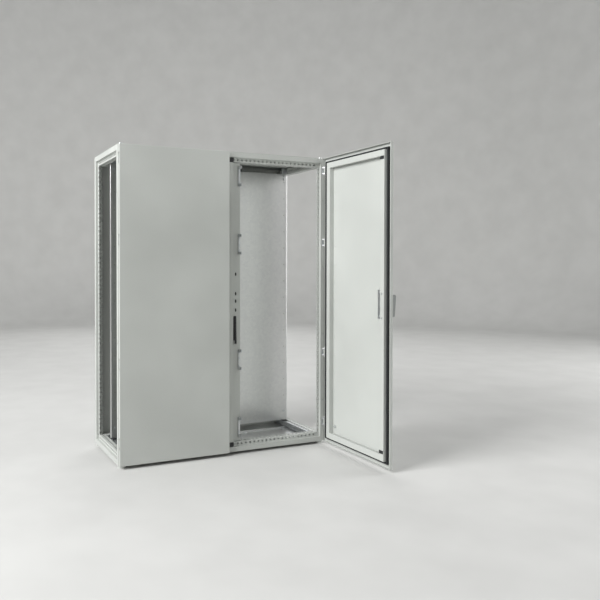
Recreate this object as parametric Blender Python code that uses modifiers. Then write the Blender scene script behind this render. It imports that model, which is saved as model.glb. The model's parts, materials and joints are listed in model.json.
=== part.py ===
"""Floor-standing switchboard cabinet with two doors, modelled the way it is assembled.

Metres, +Z up. The front looks along -Y. The origin lies on the floor under the middle of the
cabinet's box, with its right door open as it stands here. Inside the script every place is
measured from the front left bottom corner of the cabinet's frame, or from a door's hinge axis.
"""

import math

import bmesh
import bpy
from mathutils import Matrix, Vector

# Cabinet
WIDTH = 1.200
DEPTH = 0.500
HEIGHT = 1.600
FOOT_HEIGHT = 0.015
CLEARANCE = 0.0003
OVERLAP = 0.001

# Frame section: a square tube with a stepped shoulder behind the edge that the doors seal on
SECTION = 0.050
LIP = 0.0265
STEP = 0.014
SECTION_WALL = 0.002
FOOT_RADIUS = 0.020
FOOT_INSET = 0.0225

# Roof and back
ROOF_SHEET = 0.0015
ROOF_RIB_WIDTH = 0.030
ROOF_RIB_DEPTH = 0.012
ROOF_RIB_COUNT = 2
BOLT_INSET = 0.020
BOLT_HEAD_RADIUS = 0.011
BOLT_HEAD_HEIGHT = 0.007
BOLT_RADIUS = 0.004
BOLT_LENGTH = 0.022
REAR_PANEL_DEPTH = 0.012
REAR_PANEL_EDGE = 0.002
SHEET = 0.0015

# Mounting plate and what carries it
PLATE_FRONT = 0.338
PLATE_TO_FRAME = 0.0005
PLATE_SHEET = 0.003
PLATE_FLANGE = 0.020
PLATE_LOW = 0.054
PLATE_TOP_GAP = 0.052
DEPTH_RAIL_TO_FRAME = 0.008
DEPTH_RAIL_WIDTH = 0.020
DEPTH_RAIL_LOW = 0.016
DEPTH_RAIL_HIGH = 0.048
DEPTH_RAIL_WALL = 0.002
PLATE_FOOT_TO_FRAME = 0.0045
PLATE_FOOT_WIDTH = 0.030
PLATE_FOOT_FRONT = 0.018
PLATE_FOOT_BACK = 0.040
PLATE_FOOT_RISE = 0.024
CLIP_SHEET = 0.003
CLIP_TO_FRAME = 0.006
CLIP_WIDTH = 0.029
CLIP_DROP = 0.048
CLIP_RISE = 0.037
GLAND_SHEET = 0.0015
GLAND_SPLIT = 0.300
GLAND_SEAM = 0.002

# Doors, measured from their hinge axis: along the leaf, depth (front is negative) and height
DOOR_EDGE_GAP = 0.002
MEETING_GAP = 0.002
DOOR_PAN_DEPTH = 0.018
DOOR_TO_FRAME = 0.002
HINGE_INSET = 0.007
RIGHT_DOOR_REST = math.radians(90)

# Hinges: a bracket with its pin on the frame, a knuckle welded into the door's pan
HINGES_FROM_BOTTOM = (0.113, 0.508)
HINGES_FROM_TOP = (0.070, 0.474)
PIN_RADIUS = 0.0025
KNUCKLE_RADIUS = 0.005
KNUCKLE_HALF = 0.013
LUG_HALF_WIDTH = 0.0035
EAR_RADIUS = 0.0045
EYE_START = 77
EYE_END = -150
EAR_HALF = 0.0205
BRACKET_OUT = 0.001
BRACKET_IN = 0.012
BRACKET_PLATE = 0.0045
HINGE_NOTCH_HALF = 0.028

# Tubular door frame, a channel open towards the door's sheet
TUBE_WIDTH = 0.031
TUBE_WALL = 0.002
TUBE_PAST_PAN = 0.011
TUBE_FROM_HINGE_EDGE = 0.054
TUBE_FROM_FREE_EDGE = 0.034
TUBE_FROM_ENDS = 0.033

# Foam gasket
GASKET_INSET = 0.021
GASKET_WIDTH = 0.010
GASKET_TO_FRAME = 0.0005

# Left door's centre strip, which the right door shuts on
LAND_WIDTH = 0.0275
LAND_TO_MEETING = 0.0015
STRIP_SETBACK = 0.026
STRIP_RECESS_WIDTH = 0.054
STRIP_RETURN = 0.019
STRIP_SHEET = 0.002
STRIP_END_GAP = 0.003
KEEPERS_FROM_ENDS = (0.125, 0.490)
KEEPER_HALF = 0.055
KEEPER_WIDTH = 0.011
KEEPER_FROM_EDGE = 0.0035
KEEPER_BRIDGE = 0.010
KEEPER_CLIP = 0.016

# Left door's inner lever and lock rods
LEVER_PIVOT_HEIGHT = 0.583
LEVER_LENGTH = 0.142
LEVER_WIDTH = 0.012
LEVER_FROM_LAND = 0.020
LEVER_RADIUS = 0.0068
LEVER_TIP_RADIUS = 0.0045
LEVER_SEAT = 0.0007
CHEEK_WIDTH = 0.005
ROD_WIDTH = 0.012
ROD_SHEET = 0.003
LEFT_ROD_FROM_EDGE = 0.011
LEFT_ROD_FROM_PIVOT = 0.022

# Right door's lock
HANDLE_FROM_FREE_EDGE = 0.040
HANDLE_LOW = 0.720
HANDLE_HIGH = 0.880
SPINDLE_HEIGHT = 0.845
HANDLE_BASE_WIDTH = 0.028
HANDLE_BASE_THICKNESS = 0.013
SPINDLE_RADIUS = 0.006
SPINDLE_END = 0.012
BOSS_RADIUS = 0.0115
BOSS_THICKNESS = 0.0064
TONGUE_WIDTH = 0.010
TONGUE_HALF = 0.0085
GRIP_WIDTH = 0.022
GRIP_TO_BOSS = 0.001
FORK_DEPTH = 0.016
GRIP_TOP_RADIUS = 0.010
GRIP_TIP_RADIUS = 0.007
GRIP_LOW = 0.745
GRIP_PIN_RADIUS = 0.0025
REST_PAD_HIGH = 0.764
REST_PAD_LOW = 0.748
BUTTON_HEIGHT = 0.731
BUTTON_RADIUS = 0.0055
BUTTON_PROUD = 0.0075
BUTTON_SEATED = 0.0072
BUTTON_TRAVEL = 0.003
LOCK_CASE_LOW = 0.735
LOCK_CASE_HIGH = 0.878
LOCK_CASE_WIDTH = 0.0495
LOCK_CASE_TO_TUBE = 0.0005
ROD_TO_TUBE = 0.0005
ROD_FROM_SHEET = 0.002
ROD_FROM_SPINDLE = 0.021
ROD_END_GAP = 0.003
ROLLERS_FROM_ENDS = (0.160, 0.450, 0.560)
ROLLER_RADIUS = 0.005
ROLLER_LENGTH = 0.011
RUNNING = 0.0003
ROUND_SEGMENTS = 24
SMALL_SEGMENTS = 16
SMOOTH_ANGLE = 35
CAP_WELD = 0.000001

# Worked out from the sizes above
FRAME_TOP = HEIGHT - ROOF_SHEET - CLEARANCE
FRAME_BACK = DEPTH - REAR_PANEL_DEPTH - CLEARANCE
AXIS_TO_FRAME = DOOR_TO_FRAME + DOOR_PAN_DEPTH / 2
PAN_FRONT = -DOOR_PAN_DEPTH / 2
PAN_BACK = DOOR_PAN_DEPTH / 2
PAN_INSIDE = PAN_FRONT + SHEET
DOOR_HINGE_EDGE = DOOR_EDGE_GAP - HINGE_INSET
DOOR_FREE_EDGE = WIDTH / 2 - MEETING_GAP / 2 - HINGE_INSET
DOOR_LOW = DOOR_EDGE_GAP
DOOR_HIGH = HEIGHT - DOOR_EDGE_GAP
TUBE_FRONT = PAN_INSIDE + CLEARANCE
TUBE_BACK = PAN_BACK + TUBE_PAST_PAN
TUBE_HINGE_SIDE = DOOR_HINGE_EDGE + TUBE_FROM_HINGE_EDGE
TUBE_FREE_SIDE = DOOR_FREE_EDGE - TUBE_FROM_FREE_EDGE
TUBE_LOW = DOOR_LOW + TUBE_FROM_ENDS
TUBE_HIGH = DOOR_HIGH - TUBE_FROM_ENDS
LAND_START = DOOR_FREE_EDGE + LAND_TO_MEETING
LAND_END = LAND_START + LAND_WIDTH
RECESS_FACE = AXIS_TO_FRAME + STRIP_SETBACK
RECESS_END = LAND_END + STRIP_RECESS_WIDTH
STRIP_LOW = SECTION + STRIP_END_GAP
STRIP_HIGH = FRAME_TOP - SECTION - STRIP_END_GAP
HANDLE_ALONG = DOOR_FREE_EDGE - HANDLE_FROM_FREE_EDGE
BASE_BACK = PAN_FRONT - CLEARANCE
BASE_FRONT = BASE_BACK - HANDLE_BASE_THICKNESS
BOSS_BACK = BASE_FRONT - RUNNING
BOSS_FRONT = BOSS_BACK - BOSS_THICKNESS
GRIP_BACK = BOSS_FRONT - GRIP_TO_BOSS
GRIP_AXIS = GRIP_BACK - GRIP_TOP_RADIUS
GRIP_FRONT = GRIP_AXIS - GRIP_TOP_RADIUS
ROD_INNER = TUBE_FREE_SIDE - TUBE_WIDTH - ROD_TO_TUBE - ROD_WIDTH
ROD_OUTER = ROD_INNER + ROD_WIDTH
ROD_FRONT = PAN_INSIDE + ROD_FROM_SHEET
CASE_OUTER = TUBE_FREE_SIDE - LOCK_CASE_TO_TUBE
CASE_BACK = TUBE_BACK - TUBE_WALL - CLEARANCE
OBJECT_RIGHT = WIDTH - HINGE_INSET - GRIP_FRONT
OBJECT_FRONT = -AXIS_TO_FRAME - DOOR_FREE_EDGE
ORIGIN = Vector((OBJECT_RIGHT / 2, (OBJECT_FRONT + DEPTH) / 2, -FOOT_HEIGHT))

BOLT_HOLE_RADIUS = BOLT_RADIUS + RUNNING
PIN_BORE_RADIUS = PIN_RADIUS + RUNNING
SPINDLE_BORE_RADIUS = SPINDLE_RADIUS + RUNNING
SHEET_HOLE_RADIUS = SPINDLE_RADIUS + 3 * RUNNING

# Finishes: colour, roughness, metallic
POWDER_COAT = ((0.52, 0.53, 0.51), 0.45, 0.0)
GALVANISED = ((0.45, 0.46, 0.47), 0.40, 0.9)
ZINC_PLATED = ((0.62, 0.62, 0.60), 0.30, 1.0)
BLACK_PLASTIC = ((0.02, 0.02, 0.02), 0.50, 0.0)
FOAM = ((0.03, 0.03, 0.03), 0.90, 0.0)
DIE_CAST = ((0.10, 0.10, 0.11), 0.40, 0.3)

ALONG_X = Matrix(((0, 0, 1), (1, 0, 0), (0, 1, 0))).to_4x4()
ALONG_Y = Matrix(((0, 1, 0), (0, 0, 1), (1, 0, 0))).to_4x4()
ALONG_Z = Matrix.Identity(4)


def start():
    """Clear the scene and make the two collections."""
    for old in list(bpy.data.objects):
        bpy.data.objects.remove(old, do_unlink=True)
    for name in ("switchboard_cabinet", "cutters"):
        collection = bpy.data.collections.new(name)
        bpy.context.scene.collection.children.link(collection)
    return bpy.data.collections["switchboard_cabinet"], bpy.data.collections["cutters"]


PARTS, CUTTERS = start()


def finish(name, look):
    """A Principled material for one piece."""
    colour, roughness, metallic = look
    material = bpy.data.materials.new(name + "_finish")
    material.use_nodes = True
    shader = material.node_tree.nodes["Principled BSDF"]
    shader.inputs["Base Color"].default_value = (*colour, 1.0)
    shader.inputs["Roughness"].default_value = roughness
    shader.inputs["Metallic"].default_value = metallic
    return material


def axis_empty(name, location, parent=None, turn=0.0):
    """An empty that carries the pieces of one assembly."""
    empty = bpy.data.objects.new(name, None)
    empty.location = location
    empty.rotation_euler = (0.0, 0.0, turn)
    empty.parent = parent
    PARTS.objects.link(empty)
    return empty


def add(name, mesh, location, look, parent):
    """Put a mesh in the scene: a part if it has a finish, else a cutter."""
    piece = bpy.data.objects.new(name, mesh)
    piece.location = location
    piece.parent = parent
    if look is None:
        piece.hide_render = True
        piece.display_type = "WIRE"
        CUTTERS.objects.link(piece)
        return piece
    if not mesh.materials:
        mesh.materials.append(finish(name, look))
    PARTS.objects.link(piece)
    return piece


def mesh_of(name, shape):
    """Turn a bmesh into a mesh, with its normals out and its round sides smooth."""
    bmesh.ops.recalc_face_normals(shape, faces=shape.faces)
    mesh = bpy.data.meshes.new(name)
    shape.to_mesh(mesh)
    shape.free()
    mesh.shade_smooth()
    mesh.set_sharp_from_angle(angle=math.radians(SMOOTH_ANGLE))
    return mesh


def block(name, low, high, look, parent, origin=None):
    """A box between two corners, with its origin at its middle or where it is told."""
    pairs = list(zip(low, high))
    low = Vector([min(pair) for pair in pairs])
    high = Vector([max(pair) for pair in pairs])
    middle = (low + high) / 2
    origin = middle if origin is None else Vector(origin)
    shape = bmesh.new()
    bmesh.ops.create_cube(shape, size=1.0)
    bmesh.ops.scale(shape, vec=high - low, verts=shape.verts)
    bmesh.ops.translate(shape, vec=middle - origin, verts=shape.verts)
    return add(name, mesh_of(name, shape), origin, look, parent)


def round_bar(name, low, length, radius, along, look, parent, segments=SMALL_SEGMENTS):
    """A cylinder that starts at a point and runs along an axis, with its origin at its start."""
    shape = bmesh.new()
    bmesh.ops.create_cone(
        shape, cap_ends=True, segments=segments, radius1=radius, radius2=radius, depth=length
    )
    bmesh.ops.translate(shape, vec=(0, 0, length / 2), verts=shape.verts)
    bmesh.ops.transform(shape, matrix=along, verts=shape.verts)
    return add(name, mesh_of(name, shape), low, look, parent)


def prism(name, outlines, length, along, origin, look, parent):
    """Flat outlines, the later ones holes in the first, drawn out along an axis."""
    curve = bpy.data.curves.new(name, "CURVE")
    curve.dimensions = "2D"
    curve.fill_mode = "BOTH"
    curve.extrude = length / 2
    for outline in outlines:
        spline = curve.splines.new("POLY")
        spline.points.add(len(outline) - 1)
        spline.use_cyclic_u = True
        for point, (u, v) in zip(spline.points, outline):
            point.co = (u, v, 0.0, 1.0)
    drawn = bpy.data.objects.new(name + "_outline", curve)
    PARTS.objects.link(drawn)
    bpy.context.view_layer.update()
    mesh = bpy.data.meshes.new_from_object(drawn.evaluated_get(bpy.context.evaluated_depsgraph_get()))
    bpy.data.objects.remove(drawn)
    bpy.data.curves.remove(curve)
    shape = bmesh.new()
    shape.from_mesh(mesh)
    bpy.data.meshes.remove(mesh)
    bmesh.ops.remove_doubles(shape, verts=shape.verts, dist=CAP_WELD)
    bmesh.ops.translate(shape, vec=(0, 0, length / 2), verts=shape.verts)
    bmesh.ops.transform(shape, matrix=along, verts=shape.verts)
    return add(name, mesh_of(name, shape), origin, look, parent)


def boolean(piece, tool, operation):
    """Cut a piece with a tool, or join the tool to it."""
    modifier = piece.modifiers.new(tool.name, "BOOLEAN")
    modifier.operation = operation
    modifier.solver = "EXACT"
    modifier.object = tool
    return piece


def cut(piece, tool):
    """Take the tool's volume out of a piece."""
    return boolean(piece, tool, "DIFFERENCE")


def join(piece, tool):
    """Weld the tool's volume to a piece."""
    return boolean(piece, tool, "UNION")


def arc(centre, radius, start_angle, end_angle, steps=8):
    """Points on an arc, angles in degrees."""
    turn = end_angle - start_angle
    angles = [math.radians(start_angle + turn * step / steps) for step in range(steps + 1)]
    return [(centre[0] + radius * math.cos(a), centre[1] + radius * math.sin(a)) for a in angles]


# ---------------------------------------------------------------- frame


def stepped_outline(inset, flip_u, flip_v):
    """The frame section from its outer corner, with its lips and shoulders, drawn in by an inset."""
    near = inset
    lip = LIP - inset
    shoulder = STEP + inset
    far = SECTION - inset
    points = [
        (near, near), (lip, near), (lip, shoulder), (far, shoulder),
        (far, far), (shoulder, far), (shoulder, lip), (near, lip),
    ]
    return [(u * flip_u, v * flip_v) for u, v in points]


def frame_bar(name, length, along, origin, flip_u, flip_v):
    """One hollow post or rail of the frame."""
    outlines = [stepped_outline(inset, flip_u, flip_v) for inset in (0.0, SECTION_WALL)]
    return prism(name, outlines, length, along, origin, POWDER_COAT, CABINET)


def build_posts():
    """Four upright posts between the corner pieces."""
    low = SECTION + CLEARANCE
    length = FRAME_TOP - 2 * low
    for side, x, flip_x in (("left", 0.0, 1), ("right", WIDTH, -1)):
        for end, y, flip_y in (("front", 0.0, 1), ("rear", FRAME_BACK, -1)):
            frame_bar(f"post_{end}_{side}", length, ALONG_Z, (x, y, low), flip_x, flip_y)


def build_rails():
    """Base and roof rails between the corner pieces."""
    start_gap = SECTION + CLEARANCE
    long_run = WIDTH - 2 * start_gap
    short_run = FRAME_BACK - 2 * start_gap
    for level, z, flip_z in (("base", 0.0, 1), ("roof", FRAME_TOP, -1)):
        for end, y, flip_y in (("front", 0.0, 1), ("rear", FRAME_BACK, -1)):
            frame_bar(f"{level}_rail_{end}", long_run, ALONG_X, (start_gap, y, z), flip_y, flip_z)
        for side, x, flip_x in (("left", 0.0, 1), ("right", WIDTH, -1)):
            frame_bar(f"{level}_rail_{side}", short_run, ALONG_Y, (x, start_gap, z), flip_z, flip_x)


def corner_block(name, corner, flips, spans):
    """A box measured inwards from a frame corner along each axis."""
    low = [c + f * s[0] for c, f, s in zip(corner, flips, spans)]
    high = [c + f * s[1] for c, f, s in zip(corner, flips, spans)]
    return low, high


def build_corner(name, corner, flips):
    """A cast corner piece whose three outer faces step back as the frame section does."""
    whole = (0.0, SECTION)
    low, high = corner_block(name, corner, flips, (whole, whole, whole))
    piece = block(name, low, high, POWDER_COAT, CABINET)
    outside = (-OVERLAP, STEP)
    inner = (LIP, SECTION + OVERLAP)
    for axis in range(3):
        spans = [outside if index == axis else inner for index in range(3)]
        low, high = corner_block(name, corner, flips, spans)
        cut(piece, block(f"{name}_shoulder_{axis}", low, high, None, CABINET))
    return piece


def bolt_hole(name, low, length):
    """A cutter for a roof bolt's hole."""
    return round_bar(name, low, length, BOLT_HOLE_RADIUS, ALONG_Z, None, CABINET)


def build_corners():
    """Eight corner pieces: feet under the lower four, tapped holes in the upper four."""
    for side, x, flip_x in (("left", 0.0, 1), ("right", WIDTH, -1)):
        for end, y, flip_y in (("front", 0.0, 1), ("rear", FRAME_BACK, -1)):
            base = build_corner(f"base_corner_{end}_{side}", (x, y, 0.0), (flip_x, flip_y, 1))
            foot_at = (x + flip_x * FOOT_INSET, y + flip_y * FOOT_INSET, -FOOT_HEIGHT)
            foot_length = FOOT_HEIGHT + 3 * OVERLAP
            foot = round_bar(
                base.name + "_foot", foot_at, foot_length, FOOT_RADIUS, ALONG_Z, None, CABINET, ROUND_SEGMENTS
            )
            join(base, foot)
            roof = build_corner(f"roof_corner_{end}_{side}", (x, y, FRAME_TOP), (flip_x, flip_y, -1))
            hole_at = (x + flip_x * BOLT_INSET, y + flip_y * BOLT_INSET, FRAME_TOP - BOLT_LENGTH - OVERLAP)
            hole_length = BOLT_LENGTH + 2 * OVERLAP
            cut(roof, bolt_hole(roof.name + "_hole", hole_at, hole_length))


def build_roof():
    """The roof plate with ribs below it, and a bolt at each corner."""
    bottom = FRAME_TOP + CLEARANCE
    plate = block("roof_plate", (0.0, 0.0, bottom), (WIDTH, DEPTH, HEIGHT), POWDER_COAT, CABINET)
    clear_depth = FRAME_BACK - 2 * SECTION
    for index in range(ROOF_RIB_COUNT):
        y = SECTION + clear_depth * (index + 1) / (ROOF_RIB_COUNT + 1)
        rib_low = (SECTION + STEP, y - ROOF_RIB_WIDTH / 2, FRAME_TOP - ROOF_RIB_DEPTH)
        rib_high = (WIDTH - SECTION - STEP, y + ROOF_RIB_WIDTH / 2, bottom + ROOF_SHEET / 2)
        join(plate, block(f"roof_rib_{index}", rib_low, rib_high, None, CABINET))
    for side, x in (("left", BOLT_INSET), ("right", WIDTH - BOLT_INSET)):
        for end, y in (("front", BOLT_INSET), ("rear", FRAME_BACK - BOLT_INSET)):
            name = f"roof_bolt_{end}_{side}"
            hole_at = (x, y, bottom - OVERLAP)
            hole_length = ROOF_SHEET + 2 * OVERLAP
            cut(plate, bolt_hole(name + "_hole", hole_at, hole_length))
            head_at = (x, y, HEIGHT + CLEARANCE)
            bolt = round_bar(name, head_at, BOLT_HEAD_HEIGHT, BOLT_HEAD_RADIUS, ALONG_Z, ZINC_PLATED, CABINET)
            shank_at = (x, y, FRAME_TOP - BOLT_LENGTH)
            shank_length = HEIGHT + CLEARANCE + OVERLAP - shank_at[2]
            shank = round_bar(name + "_shank", shank_at, shank_length, BOLT_RADIUS, ALONG_Z, None, CABINET)
            join(bolt, shank)


def open_pan(name, low, high, wall, open_side, look, parent):
    """A shallow sheet-metal pan: a box with one side open and its wall thickness inwards."""
    pan = block(name, low, high, look, parent)
    shape = bmesh.new()
    shape.from_mesh(pan.data)
    open_faces = [face for face in shape.faces if face.normal.dot(Vector(open_side)) > 0.9]
    bmesh.ops.delete(shape, geom=open_faces, context="FACES")
    shape.to_mesh(pan.data)
    shape.free()
    solidify = pan.modifiers.new("sheet", "SOLIDIFY")
    solidify.thickness = wall
    solidify.offset = -1.0
    solidify.use_even_offset = True
    return pan


def build_rear_panel():
    """The back wall, a pan screwed on behind the frame."""
    edge = REAR_PANEL_EDGE
    low = (edge, DEPTH - REAR_PANEL_DEPTH, edge)
    high = (WIDTH - edge, DEPTH, FRAME_TOP - edge)
    open_pan("rear_panel", low, high, SHEET, (0, -1, 0), POWDER_COAT, CABINET)


# ---------------------------------------------------------------- inside


def build_mounting_plate():
    """The galvanised plate that the switchgear is fastened to, with its sides folded back."""
    left = SECTION + PLATE_TO_FRAME
    right = WIDTH - left
    front = PLATE_FRONT
    back = PLATE_FRONT + PLATE_FLANGE
    outline = [
        (left, front), (right, front), (right, back), (right - PLATE_SHEET, back),
        (right - PLATE_SHEET, front + PLATE_SHEET), (left + PLATE_SHEET, front + PLATE_SHEET),
        (left + PLATE_SHEET, back), (left, back),
    ]
    length = HEIGHT - PLATE_TOP_GAP - PLATE_LOW
    prism("mounting_plate", [outline], length, ALONG_Z, (0, 0, PLATE_LOW), GALVANISED, CABINET)


def build_plate_supports():
    """Depth rails on the base, feet that the plate stands in, and clips at its top."""
    for side, x, flip in (("left", 0.0, 1), ("right", WIDTH, -1)):
        outer = x + flip * (SECTION + DEPTH_RAIL_TO_FRAME)
        inner = outer + flip * DEPTH_RAIL_WIDTH
        low = DEPTH_RAIL_LOW
        high = DEPTH_RAIL_HIGH
        wall = DEPTH_RAIL_WALL
        channel = [
            (low, outer), (low, inner), (high, inner), (high, outer),
            (high - wall, outer), (high - wall, inner - flip * wall),
            (low + wall, inner - flip * wall), (low + wall, outer),
        ]
        start_gap = SECTION + CLEARANCE
        run = FRAME_BACK - 2 * start_gap
        prism(f"depth_rail_{side}", [channel], run, ALONG_Y, (0, start_gap, 0), ZINC_PLATED, CABINET)

        foot_outer = x + flip * (SECTION + PLATE_FOOT_TO_FRAME)
        foot_x = (foot_outer, foot_outer + flip * PLATE_FOOT_WIDTH)
        foot_low = DEPTH_RAIL_HIGH + CLEARANCE
        foot_high = PLATE_LOW + PLATE_FOOT_RISE
        foot = block(
            f"plate_foot_{side}",
            (foot_x[0], PLATE_FRONT - PLATE_FOOT_FRONT, foot_low),
            (foot_x[1], PLATE_FRONT + PLATE_FOOT_BACK, foot_high),
            BLACK_PLASTIC,
            CABINET,
        )
        seat = block(
            f"plate_foot_{side}_seat",
            (foot_x[0] - flip * OVERLAP, PLATE_FRONT - PLATE_FOOT_FRONT - OVERLAP, PLATE_LOW - CLEARANCE),
            (foot_x[1] + flip * OVERLAP, PLATE_FRONT + PLATE_SHEET + CLEARANCE, foot_high + OVERLAP),
            None,
            CABINET,
        )
        cut(foot, seat)

        clip_back = PLATE_FRONT + PLATE_SHEET + CLEARANCE
        plate_high = HEIGHT - PLATE_TOP_GAP
        tab = x + flip * (SECTION + CLEARANCE)
        tongue = x + flip * (SECTION + CLIP_TO_FRAME)
        far = tongue + flip * CLIP_WIDTH
        ledge = plate_high + 2 * OVERLAP
        top = plate_high + CLIP_RISE
        bottom = plate_high - CLIP_DROP
        clip = [(bottom, far), (top, far), (top, tab), (ledge, tab), (ledge, tongue), (bottom, tongue)]
        prism(f"plate_clip_{side}", [clip], CLIP_SHEET, ALONG_Y, (0, clip_back, 0), ZINC_PLATED, CABINET)


def build_gland_plates():
    """Two plates that close the base, screwed up under the rails' shoulders."""
    high = STEP - CLEARANCE
    low = high - GLAND_SHEET
    edge = LIP + OVERLAP
    spans = (("front", edge, GLAND_SPLIT), ("rear", GLAND_SPLIT + GLAND_SEAM, FRAME_BACK - edge))
    for end, front, back in spans:
        block(f"gland_plate_{end}", (edge, front, low), (WIDTH - edge, back, high), GALVANISED, CABINET)


# ---------------------------------------------------------------- hinges


def hinge_heights():
    """Heights of a door's four hinges."""
    return sorted([*HINGES_FROM_BOTTOM, *(HEIGHT - drop for drop in HINGES_FROM_TOP)])


def hinge_bracket_mesh():
    """The frame's half of a hinge: a plate, two ears and the pin, with the pin at the origin."""
    back = AXIS_TO_FRAME - CLEARANCE
    eye = arc((0.0, 0.0), EAR_RADIUS, EYE_START, EYE_END, SMALL_SEGMENTS)
    outline = eye + [(-BRACKET_IN, back - BRACKET_PLATE), (-BRACKET_IN, back), (BRACKET_OUT, back)]
    low = (0, 0, -EAR_HALF)
    bracket = prism("hinge_blank", [outline], 2 * EAR_HALF, ALONG_Z, low, ZINC_PLATED, None)
    gap = KNUCKLE_HALF + RUNNING
    reach = 2 * BRACKET_IN
    slot = block("hinge_blank_slot", (-reach, -reach, -gap), (reach, back - BRACKET_PLATE, gap), None, None)
    pin_low = (0, 0, OVERLAP - EAR_HALF)
    pin_length = 2 * (EAR_HALF - OVERLAP)
    pin = round_bar("hinge_blank_pin", pin_low, pin_length, PIN_RADIUS, ALONG_Z, None, None)
    join(cut(bracket, slot), pin)
    bpy.context.view_layer.update()
    mesh = bpy.data.meshes.new_from_object(bracket.evaluated_get(bpy.context.evaluated_depsgraph_get()))
    mesh.transform(bracket.matrix_world)
    for helper in (bracket, slot, pin):
        bpy.data.objects.remove(helper)
    return mesh


def build_hinge_brackets():
    """Four brackets a side. The left ones are the right ones turned half round."""
    mesh = hinge_bracket_mesh()
    for side, x, turn in (("left", HINGE_INSET, math.pi), ("right", WIDTH - HINGE_INSET, 0.0)):
        for number, height in enumerate(hinge_heights(), start=1):
            name = f"hinge_bracket_{side}_{number}"
            bracket = add(name, mesh.copy(), (x, -AXIS_TO_FRAME, height), ZINC_PLATED, CABINET)
            bracket.rotation_euler = (0.0, turn, 0.0)


# ---------------------------------------------------------------- doors


def leaf_block(name, side, along, depth, height, look, parent):
    """A box in a door's own measures. The side is 1 on the left door and -1 on the right one."""
    low = (side * along[0], depth[0], height[0])
    high = (side * along[1], depth[1], height[1])
    return block(name, low, high, look, parent)


def build_door_shell(name, side, axis):
    """The door's outer pan with its four welded hinge knuckles."""
    low = (side * DOOR_HINGE_EDGE, PAN_FRONT, DOOR_LOW)
    high = (side * DOOR_FREE_EDGE, PAN_BACK, DOOR_HIGH)
    shell = open_pan(name, low, high, SHEET, (0, 1, 0), POWDER_COAT, axis)
    for number, height in enumerate(hinge_heights(), start=1):
        notch = leaf_block(
            f"{name}_notch_{number}",
            side,
            (DOOR_HINGE_EDGE - OVERLAP, DOOR_HINGE_EDGE + SHEET + CLEARANCE),
            (PAN_INSIDE + CLEARANCE, PAN_BACK + OVERLAP),
            (height - HINGE_NOTCH_HALF, height + HINGE_NOTCH_HALF),
            None,
            axis,
        )
        cut(shell, notch)
        lug = leaf_block(
            f"{name}_lug_{number}",
            side,
            (-LUG_HALF_WIDTH, LUG_HALF_WIDTH),
            (PAN_INSIDE - SHEET / 2, 0.0),
            (height - KNUCKLE_HALF + OVERLAP, height + KNUCKLE_HALF - OVERLAP),
            None,
            axis,
        )
        join(shell, lug)
        knuckle_at = (0.0, 0.0, height - KNUCKLE_HALF)
        knuckle = round_bar(
            f"{name}_knuckle_{number}", knuckle_at, 2 * KNUCKLE_HALF, KNUCKLE_RADIUS, ALONG_Z, None, axis
        )
        join(shell, knuckle)
        bore_at = (0.0, 0.0, height - KNUCKLE_HALF - OVERLAP)
        bore_length = 2 * (KNUCKLE_HALF + OVERLAP)
        bore = round_bar(f"{name}_bore_{number}", bore_at, bore_length, PIN_BORE_RADIUS, ALONG_Z, None, axis)
        cut(shell, bore)
    return shell


def build_tubular_frame(name, side, axis):
    """The stiffening frame inside a door, a channel whose open side faces the sheet."""
    along = (TUBE_HINGE_SIDE, TUBE_FREE_SIDE)
    height = (TUBE_LOW, TUBE_HIGH)
    tube = leaf_block(name, side, along, (TUBE_FRONT, TUBE_BACK), height, POWDER_COAT, axis)

    def shrunk(span, inset):
        return span[0] + inset, span[1] - inset

    window = leaf_block(
        name + "_window", side, shrunk(along, TUBE_WIDTH), (TUBE_FRONT - OVERLAP, TUBE_BACK + OVERLAP),
        shrunk(height, TUBE_WIDTH), None, axis,
    )
    hollow_depth = (TUBE_FRONT - OVERLAP, TUBE_BACK - TUBE_WALL)
    hollow = leaf_block(
        name + "_hollow", side, shrunk(along, TUBE_WALL), hollow_depth, shrunk(height, TUBE_WALL), None, axis
    )
    core_inset = TUBE_WIDTH - TUBE_WALL
    core = leaf_block(
        name + "_core", side, shrunk(along, core_inset), (TUBE_FRONT - 2 * OVERLAP, TUBE_BACK),
        shrunk(height, core_inset), None, axis,
    )
    cut(hollow, core)
    cut(tube, window)
    cut(tube, hollow)
    return tube


def build_gasket(name, side, axis):
    """The foam ring that seals the door on the frame's lip."""
    along = (DOOR_HINGE_EDGE + GASKET_INSET, DOOR_FREE_EDGE - GASKET_INSET)
    height = (DOOR_LOW + GASKET_INSET, DOOR_HIGH - GASKET_INSET)
    depth = (PAN_INSIDE + CLEARANCE, AXIS_TO_FRAME - GASKET_TO_FRAME)
    gasket = leaf_block(name, side, along, depth, height, FOAM, axis)
    window = leaf_block(
        name + "_window",
        side,
        (along[0] + GASKET_WIDTH, along[1] - GASKET_WIDTH),
        (depth[0] - OVERLAP, depth[1] + OVERLAP),
        (height[0] + GASKET_WIDTH, height[1] - GASKET_WIDTH),
        None,
        axis,
    )
    return cut(gasket, window)


# ---------------------------------------------------------------- left door


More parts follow.
